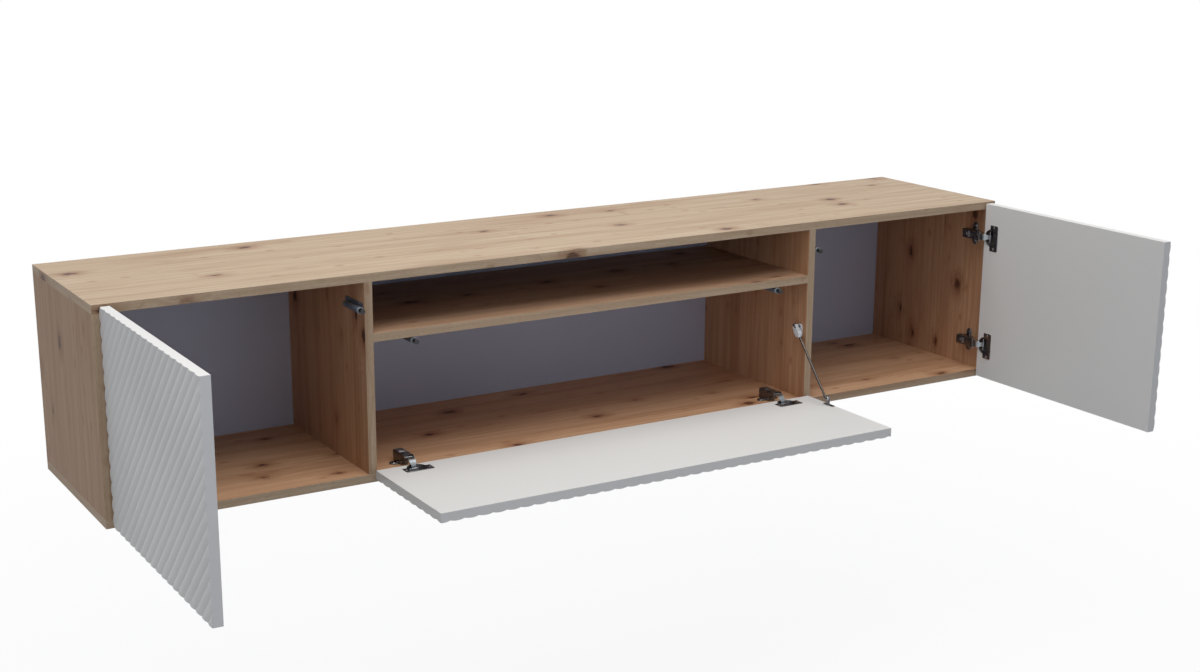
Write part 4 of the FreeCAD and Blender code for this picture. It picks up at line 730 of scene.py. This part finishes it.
def disc(radius, steps, middle=(0.0, 0.0), start=0.0, sweep=2 * pi):
    """Points round a circle, or along part of one."""
    gaps = steps if sweep == 2 * pi else steps - 1
    turns = [start + sweep * number / gaps for number in range(steps)]
    return [(middle[0] + radius * cos(turn), middle[1] + radius * sin(turn)) for turn in turns]


def rounded(long, wide, corner, middle=(0.0, 0.0), steps=6):
    """A rectangle with round corners, counter-clockwise."""
    outline = []
    for number, (side, up) in enumerate(((1, 1), (-1, 1), (-1, -1), (1, -1))):
        turn_at = (middle[0] + side * (long / 2 - corner), middle[1] + up * (wide / 2 - corner))
        outline += disc(corner, steps, turn_at, number * pi / 2, pi / 2)
    return outline


def aimed(outline, height, along, at):
    """A flat outline set across one of the three axes, at a height along it."""
    return [ALONG[along] @ Vector((*point, height)) + Vector(at) for point in outline]


def shrunk(outline, by):
    """The outline pulled in by a small distance, square to its own run."""
    moved = []
    for number, here in enumerate(outline):
        before, after = outline[number - 1], outline[(number + 1) % len(outline)]
        run = Vector((after[0] - before[0], after[1] - before[1])).normalized()
        moved.append((here[0] - by * run.y, here[1] + by * run.x))
    return moved


SHARP_ANGLE = 0.7


class Form:
    """A mesh under way, in millimetres, in a frame of its own."""

    def __init__(self):
        self.mesh = bmesh.new()

    def loft(self, loops, closed=False, finish=0):
        rows = [[self.mesh.verts.new(point) for point in loop] for loop in loops]
        ends = rows[1:] + rows[:1] if closed else rows[1:]
        faces = [] if closed else [self.mesh.faces.new(rows[0][::-1]), self.mesh.faces.new(rows[-1])]
        for one, two in zip(rows, ends):
            for number, vert in enumerate(one):
                after = (number + 1) % len(one)
                faces.append(self.mesh.faces.new((vert, one[after], two[after], two[number])))
        for face in faces:
            face.material_index = finish
        return self

    def slab(self, outline, low, high, along="z", at=(0, 0, 0), edge=0.25):
        """An outline with thickness; its rims are broken by a small edge."""
        steps = [(edge, low), (0, low + edge), (0, high - edge), (edge, high)]
        return self.loft([aimed(shrunk(outline, inset), height, along, at) for inset, height in steps])

    def turned(self, profile, along="z", at=(0, 0, 0), steps=28, closed=False, finish=0):
        """A profile of radius and height, turned about an axis."""
        return self.loft([aimed(disc(radius, steps), height, along, at) for radius, height in profile],
                         closed, finish)

    def stand(self, node, places, finishes):
        """Copies the form to each place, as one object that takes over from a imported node."""
        bmesh.ops.recalc_face_normals(self.mesh, faces=self.mesh.faces[:])
        for face in self.mesh.faces:
            face.smooth = True
        for edge in self.mesh.edges:
            edge.smooth = edge.calc_face_angle(0.0) < SHARP_ANGLE
        form = bpy.data.meshes.new(node + "_form")
        self.mesh.to_mesh(form)
        gathered = bmesh.new()
        for place in places:
            copy = form.copy()
            copy.transform(place @ Matrix.Scale(MM, 4))
            gathered.from_mesh(copy)
        mesh = bpy.data.meshes.new(node + "_shaped")
        gathered.to_mesh(mesh)
        for finish in finishes:
            mesh.materials.append(finish)
        hand_over(linked(node + "_shaped", mesh), node)


print("forms ready")

# %% [markdown]
# ## Hinges
#
# There are six concealed hinges, two to a front.  On the carcass sits a cruciform plate, and an arm
# bent from sheet is screwed on top of it.  In the front sits a drawn cup with two ears.  An arched
# link joins the two: it turns on a pin in the nose of the arm and on another inside the cup.
#
# Every hinge is drawn once in its own frame: x away from the board, y into the cabinet, z along
# the pins, with the arm pin at zero.

# %% [markdown]
# The plate is die-cast: wings that thin out towards their ends, each with a raised ring round its
# screw, and a block under the arm.

# %% Mounting plates
PLATE_SETBACK, PLATE_THICK, BLOCK_HIGH = 37.0, 2.5, 8.0


def plate_form(front):
    board = -HINGES[front].lift
    setback = PLATE_SETBACK - HINGES[front].edge
    form = Form().slab(rounded(15, 50, 7.4), board, board + PLATE_THICK, "x", (0, setback, 0), 0.5)
    for side in (-1, 1):
        form.turned([(4.6, 0), (4.6, 2.7), (4.2, 3.1), (3.6, 3.1)], "x", (board, setback, 16 * side), 24)
        form.slab(rounded(11, 6, 1.2, (setback, 9.4 * side)), board + 1.0, board + 4.4, "x", edge=0.9)
    form.slab(rounded(34, 16, 1.5, (setback + 3.0, 0)), board, board + BLOCK_HIGH, "x", edge=0.5)
    form.slab(rounded(16, 15.6, 1.5, (setback + 8.0, 0)), board + 4, 3.0, "x", edge=0.4)
    for number in range(5):
        rib = rounded(1.4, 14, 0.5, (setback - 11.0 + 2.6 * number, 0))
        form.slab(rib, board + BLOCK_HIGH - 0.6, board + BLOCK_HIGH + 0.5, "x", edge=0.2)
    return form


def fit(kind, form_of, finish, frames_of=arm_frames):
    """Stands one form on every hinge."""
    for front in HINGES:
        form_of(front).stand(front + "_hinge_" + kind, frames_of(front), [finish])
    print(kind + ":", 2 * len(HINGES))


fit("plates", plate_form, dark_nickel)

# %% [markdown]
# The arm is one strip of sheet folded down both sides.  Its fold is a loop swept from front to
# back, with cheeks that get deeper behind the nose.  The nose is two flat cheeks with the riveted
# pin between them.  A slotted screw on top sets the front sideways.

# %% Arms
ARM_HALF, ARM_SHEET, ARM_TOP, ARM_LONG = 10.0, 1.2, 4.2, 49.0
ARM_SCREW_SETBACK, PIN_RADIUS = 45.0, 1.5
ARM_DEPTHS = ((3.9, 4.6), (4.2, 5.2), (4.2, 11.5), (5.0, 12.8), (8.0, 14.6), (9.0, 16.4), (9.0, 47.0),
              (8.0, ARM_LONG))


def folded(deep, back):
    """The folded sheet in section: outside down one cheek and up the other, then the inside."""
    def half(inset, bend):
        top, side = ARM_TOP - inset - bend, ARM_HALF - inset - bend
        return [(-deep, ARM_HALF - inset)] + [(top + bend * sin(turn), side + bend * cos(turn))
                                              for turn in (0, 0.52, 1.05, pi / 2)]

    outside, inside = half(0.0, 2.2), half(ARM_SHEET, 1.0)
    section = outside + [(x, -z) for x, z in outside[::-1] + inside] + inside[::-1]
    return [(x, back, z) for x, z in section]


def arm_form(front):
    form = Form().loft([folded(deep, back) for deep, back in ARM_DEPTHS])
    cheek = disc(ARM_TOP, 16, (0, 0), pi, pi) + [(ARM_TOP, 4.9), (-ARM_TOP, 4.9)]
    for low in (-ARM_HALF, ARM_HALF - ARM_SHEET):
        form.slab(cheek, low, low + ARM_SHEET, edge=0.2)
    form.turned([(PIN_RADIUS, -ARM_HALF), (PIN_RADIUS, ARM_HALF)], "z", steps=16)
    form.turned([(3.0, ARM_TOP - 0.4), (3.0, ARM_TOP + 0.25), (2.6, ARM_TOP + 0.5)], "x", (0, 20.0, 0), 20)
    for number in range(3):
        rib = rounded(1.5, 13, 0.6, (26.2 + 2.7 * number, 0))
        form.slab(rib, ARM_TOP - 0.3, ARM_TOP + 0.4, "x", edge=0.3)
    form.turned([(4.4, ARM_TOP - 0.4), (4.4, ARM_TOP + 0.02), (4.1, ARM_TOP + 0.04)], "x",
                (0, ARM_SCREW_SETBACK - HINGES[front].edge, 0), 24)
    return form


fit("arms", arm_form, dark_nickel)

# %% [markdown]
# The link is a plate bent to an arc with a rolled barrel at each end.  It is wide at the arm and
# necks down where it dips into the cup.

# %% Links
LINK_HALF, NECK_HALF, LINK_THICK, LINK_BULGE, LINK_STEPS = 7.0, 5.0, 2.0, 7.5, 24
NECK_FROM, NECK_OVER = 0.64, 0.16
BARREL, BARREL_BORE, BROKEN = 2.6, 1.55, 0.3


def link_form(front):
    """The plate, swept along an arc from pin to pin, and a barrel round each pin."""
    step = (pin(front + "_turn") - pin(front + "_link_turn")) / MM
    ahead = Vector((step.dot(HINGES[front].off), step.dot(INWARD), 0))
    reach, along = ahead.length, ahead.normalized()
    arched, pins = Vector((-along.y, along.x, 0)), Vector((0, 0, 1))
    radius = (reach ** 2 / 4 + LINK_BULGE ** 2) / (2 * LINK_BULGE)
    half_turn = math.asin(reach / 2 / radius)
    loops = []
    for number in range(LINK_STEPS + 1):
        share = number / LINK_STEPS
        turn = half_turn * (2 * share - 1)
        ease = min(1.0, max(0.0, (share - NECK_FROM) / NECK_OVER))
        half = LINK_HALF + (NECK_HALF - LINK_HALF) * ease * ease * (3 - 2 * ease)
        outward = along * sin(turn) + arched * cos(turn)
        foot = along * reach / 2 + arched * (LINK_BULGE - radius)
        loops.append([foot + outward * (radius + deep) + pins * wide
                      for wide, deep in rounded(2 * half, LINK_THICK, 0.45, steps=2)])
    form = Form().loft(loops)
    for spot, half in ((Vector((0, 0, 0)), LINK_HALF), (along * reach, NECK_HALF)):
        rim = [(BARREL_BORE, -half), (BARREL - BROKEN, -half), (BARREL, BROKEN - half)]
        form.turned(rim + [(radius, -height) for radius, height in rim[::-1]], "z", spot, 20, closed=True)
    return form


fit("links", link_form, bright_nickel)

# %% [markdown]
# The cup is drawn from sheet: a plate with two ears and a round rim that bulges towards the hinged
# edge.  Every other loop, down the outside and up the inside, has a point for each point of that
# outline.

# %% Cups
CUP_DEEP, FLANGE_RADIUS, PIN_DEEP = 11.5, 19.0, 6.0


def cup_outline():
    """Ears 57 mm apart at their ends, and the rim bulging between them."""
    opening = math.acos(3.5 / FLANGE_RADIUS)
    rim = disc(FLANGE_RADIUS, 25, (0, 0), -opening, 2 * opening)
    ear = disc(1.2, 4, (2.3, 27.3), 0, pi / 2) + disc(3.5, 6, (-16.0, 25.0), pi / 2, pi / 2)
    side = [(-19.5, 18.0 - 4.0 * number) for number in range(10)]
    return rim + ear + side + [(x, -y) for x, y in ear[::-1]]


def cup_form(front):
    outline = cup_outline()

    def level(radius, height):
        return [(*(radius * Vector(point).normalized()), height) for point in outline]

    def flange(inset, height):
        return [(x, y, height) for x, y in shrunk(outline, inset)]

    form = Form().loft([
        level(2.0, -CUP_DEEP), level(14.5, -CUP_DEEP), level(16.9, -10.4), level(17.5, -8.6),
        level(17.5, 0.0), flange(0.2, 0.0), flange(0.0, 0.2), flange(0.0, 0.7), flange(0.3, 1.0),
        level(17.4, 1.0), level(16.9, 0.7), level(16.8, 0.2), level(16.8, -8.4), level(16.2, -9.9),
        level(14.2, -10.8), level(2.0, -10.8)])
    pin_x = CUP_SETBACK - HINGES[front].inset
    half = math.sqrt(17.1 ** 2 - (pin_x + PIN_RADIUS) ** 2)
    return form.turned([(PIN_RADIUS, -half), (PIN_RADIUS, half)], "y", (pin_x, 0, -PIN_DEEP), 16)


fit("cups", cup_form, dark_nickel, cup_frames)

# %% [markdown]
# ## Push latches
#
# A push latch is a moulded barrel on a flat base.  A ring closes its mouth, and a sprung plunger
# with a soft black tip stands out of it.  The fronts have no handles: a push on one lets it spring
# open.  Each latch is drawn with x off its board, y back from its mouth and z across its base.

# %% Latches
BARREL_MIDDLE = (7.6, 0, 2.6)
LATCHES = {
    "left_door": (-1, 0, 0), "right_door": (1, 0, 0), "flap_left": (0, 0, -1), "flap_right": (0, 0, -1)}


def latch_body_form():
    form = Form().slab(rounded(76, 18, 2.5, (44, 0)), 0, 2.0, "x", edge=0.4)
    form.turned([(5.3, 4.3), (6.2, 5.4), (6.2, 66.0), (5.0, 70.0), (2.0, 70.0)], "y", BARREL_MIDDLE)
    form.turned([(4.75, 0.0), (5.8, 0.0), (6.2, 0.4), (6.2, 4.6), (4.75, 4.6)], "y", BARREL_MIDDLE,
                closed=True, finish=1)
    return form.slab(rounded(59, 6.2, 1.0, (38.5, 2.6)), 1.0, 7.6, "x", edge=0.3)


def plunger_form():
    tip = [(2.5, -11.0), (4.1, -11.0), (4.6, -10.5), (4.6, -8.4), (4.2, -8.0), (3.0, -8.0), (3.0, 32.0)]
    return Form().turned(tip, "y", BARREL_MIDDLE)


for owner, off in LATCHES.items():
    low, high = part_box(owner + "_latch_body")
    off = Vector(off)
    origin = (low + high) / 2 - off * abs((high - low).dot(off)) / 2
    origin.y = low_corner.y
    place = standing(origin, off, INWARD, off.cross(INWARD))
    latch_body_form().stand(owner + "_latch_body", [place], [slate_plastic, pale_plastic])
    plunger_form().stand(owner + "_latch_plunger", [place], [black_plastic])
    print(owner, "latch at", [round(part, 4) for part in origin])

# %% [markdown]
# ## Flap stay
#
# A moulded block turns on a boss of its bracket, on the right divider, and a bent steel rod slides
# through the block with some drag.  The rod's lower end turns sideways to an ear on the flap,
# through a white sleeve, and a cap closes the ear.  Its upper end carries a stop.
#
# The rod is a circle swept along a bent line: straight down the lean, round a tight bend, and out
# along the pivot.  The leaning pieces share one frame, with z up the rod.

# %% Rod and block
SIDEWAYS, UP = Vector((1, 0, 0)), Vector((0, 0, 1))
EAR_LIFT, EAR_RADIUS = 15.0, 5.5
ROD_RADIUS, BEND, BEND_STEPS, HOOK_END, ROD_TOP = 2.4, 3.4, 8, 4.7, 14.6
hub = pin("stay_block_turn")
lean = -Vector(joints["stay_rod_slide"]["axis"]).normalized()
leaning = standing(hub, SIDEWAYS, lean.cross(SIDEWAYS), lean)
ear_low, ear_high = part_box("flap_stay_bracket")
foot = Vector((hub.x, (ear_low.y + ear_high.y) / 2, packed["flap"][1].z + EAR_LIFT * MM))
ROD_LONG = (hub - foot).length / MM


def rod_form():
    """From the ear round the bend and up, with the block's pivot at zero."""
    path = [(Vector((HOOK_END, 0, -ROD_LONG)), SIDEWAYS)]
    for number in range(BEND_STEPS + 1):
        turn = number / BEND_STEPS * pi / 2
        path.append((Vector((BEND - BEND * sin(turn), 0, BEND - BEND * cos(turn) - ROD_LONG)),
                     Vector((cos(turn), 0, -sin(turn)))))
    path.append((Vector((0, 0, ROD_TOP)), -UP))
    form = Form().loft([
        [spot + ROD_RADIUS * (facing.cross(INWARD) * a + INWARD * b) for a, b in disc(1.0, 24)]
        for spot, facing in path])
    form.turned([(2.4, 2.0), (3.5, 2.0), (3.8, 2.4), (3.8, 4.2), (3.5, 4.6), (2.4, 4.6)], "x",
                (0, 0, -ROD_LONG), 24, closed=True, finish=1)
    stop = [(2.3, 14.0), (3.9, 14.0), (4.15, 14.3), (4.15, 16.7), (3.9, 17.0), (2.0, 17.0)]
    return form.turned(stop, "z", steps=24)


def block_form():
    """A round-ended block with a collar below and two prongs above, one on each side of the rod."""
    form = Form().slab(rounded(14, 20, 6.9, (0, -3.5), steps=10), -5.1, 4.9, "x", edge=1.0)
    collar = [(2.5, -15.6), (3.6, -15.6), (4.4, -15.0), (4.4, -12.0), (2.5, -12.0)]
    form.turned(collar, "z", steps=24, closed=True)
    for side in (-1, 1):
        form.slab(rounded(2.8, 11.4, 1.2, (5.1 * side, 7.7)), -3.6, 3.4, "x", edge=0.6)
    return form


rod_form().stand("stay_rod", [leaning], [rod_steel, milky_plastic])
block_form().stand("stay_block", [leaning], [milky_plastic])
print("rod", round(ROD_LONG, 1), "mm from pivot to ear, lean", round(math.degrees(math.asin(lean.z)), 1))

# %% Brackets and clip
def divider_bracket_form():
    form = Form().slab(rounded(15, 30, 7.4, steps=10), 6.5, 9.0, "x", edge=0.6)
    return form.turned([(1.0, 3.1), (2.7, 3.1), (3.0, 3.4), (3.0, 9.0)], "x", steps=24)


def ear_form():
    """The foot that is screwed to the flap and the ear bent up from it, drawn from the rod's end."""
    form = Form().slab(rounded(7.6, 30, 1.2, (8.8, 0)), -EAR_LIFT, 1.5 - EAR_LIFT)
    ear = disc(EAR_RADIUS, 18, sweep=pi) + [(side * EAR_RADIUS, 0.3 - EAR_LIFT) for side in (-1, 1)]
    return form.slab(ear, 5.0, 6.5, "x")


def clip_form():
    cap = [(2.3, 5.1), (2.3, 6.5), (3.3, 6.5), (3.6, 6.8), (3.6, 7.2), (2.8, 7.6), (1.0, 7.6)]
    return Form().turned(cap, "x", steps=24)


at_hub, at_foot = (standing(spot, SIDEWAYS, INWARD, UP) for spot in (hub, foot))
divider_bracket_form().stand("stay_bracket", [at_hub], [milky_plastic])
ear_form().stand("flap_stay_bracket", [at_foot], [dark_nickel])
clip_form().stand("stay_clip", [at_foot], [milky_plastic])
print("stay brackets and clip ready")

# %% [markdown]
# ## Studio
#
# Soft light comes from a large panel overhead, so that the top is bright, the sides are about half
# as bright and the insides fall into shade.  Two weak panels in front lift the sides and the
# insides.  The floor and the sky are white to the camera and to reflections, but light the cabinet
# only a little.
#
# Near the object a share of what the camera sees is plain matt floor, which shows a soft shadow.

# %% Floor and sky
FLOOR_DROP, FLOOR_REACH = 0.62, 14.0


def seen_directly(g):
    """One for rays from the camera and through reflections and glass, nought for bounced light."""
    ray = g.add("LightPath").outputs
    seen = g.plus(ray["Is Glossy Ray"], ray["Is Transmission Ray"])
    return g.math("MINIMUM", g.plus(ray["Is Camera Ray"], seen), 1.0)


floor_mesh = bpy.data.meshes.new("studio_floor")
floor_mesh.from_pydata([(x * FLOOR_REACH, y * FLOOR_REACH, low_corner.z - FLOOR_DROP)
                        for x, y in ((-1, -1), (1, -1), (1, 1), (-1, 1))], [], [(0, 1, 2, 3)])
linked("studio_floor", floor_mesh)

g = Surface("studio_floor", Base_Color=(0.30, 0.30, 0.30, 1), Roughness=0.9, Specular_IOR_Level=0.0)
matt = g.new("BsdfDiffuse", {"Color": (0.88, 0.88, 0.88, 1)})
flattened = g.vector_math("MULTIPLY", g.place, (0.8, 1.0, 0.0))
away = g.add("ShaderNodeVectorMath", {0: flattened}, operation="LENGTH").outputs["Value"]
shown = g.new("MixShader", {0: g.between(away, 0.6, 2.6, 0.08, 0.0), 1: g.new("Emission"), 2: matt})
both = g.new("MixShader", {0: seen_directly(g), 1: g.shader.outputs[0], 2: shown})
g.plug(g.output.inputs["Surface"], both)
floor_mesh.materials.append(g.material)

world = bpy.data.worlds.new("studio")
scene.world = world
world.use_nodes = True
world.node_tree.nodes.clear()
sky = Graph(world.node_tree)
height = sky.split(sky.add("TexCoord").outputs["Generated"])[2]
dome = sky.plus(0.06, sky.times(sky.math("MAXIMUM", height, 0.0), 0.34))
seen = seen_directly(sky)
sky_colour = sky.blend(seen, (0.84, 0.90, 1.0, 1), (1, 1, 1, 1))
strength = sky.plus(seen, sky.times(sky.minus(1.0, seen), dome))
sky.add("OutputWorld", {"Surface": sky.new("Background", {"Color": sky_colour, "Strength": strength})})
print("floor", FLOOR_DROP, "m below, sky white")

# %% Lamps
def panel(name, at, towards, size, power, colour):
    """A square soft lamp that looks at a point."""
    lamp = bpy.data.lights.new(name, "AREA")
    lamp.size, lamp.energy, lamp.color = size, power, colour
    made = linked(name, lamp)
    made.location = at
    made.rotation_euler = (Vector(towards) - Vector(at)).to_track_quat("-Z", "Y").to_euler()
    print(name, power, "W,", size, "m wide")


panel("overhead", (-0.2, -1.0, 3.0), (0, -0.3, 0), 3.4, 100, (1.0, 0.985, 0.96))
panel("front_left", (-4.0, -2.6, 0.7), (0, -0.3, -0.1), 2.2, 30, (0.89, 0.92, 1.0))
panel("front_fill", (0.4, -4.6, 0.1), (0, -0.2, -0.15), 2.4, 10, (0.55, 0.70, 1.0))

# %% [markdown]
# ## Camera
#
# The view is from the left front, a little above the top board.  A small lens shift frames it, so
# the camera needs no extra turn and the uprights keep their place.

# %% Camera
eye = Vector((-1.7818, -3.2786, 0.7326))
heading, tilt = 0.523, -0.2654
lens = bpy.data.cameras.new("catalogue_view")
lens.sensor_width, lens.lens = 36.0, 53.98
lens.shift_x, lens.shift_y = 0.0366, 0.0256
camera = linked("catalogue_view", lens)
camera.location = eye
forward = Vector((sin(heading) * cos(tilt), cos(heading) * cos(tilt), sin(tilt)))
camera.rotation_euler = forward.to_track_quat("-Z", "Y").to_euler()
scene.camera = camera
scene.view_settings.view_transform = "Standard"
print("camera at", tuple(round(part, 3) for part in eye))
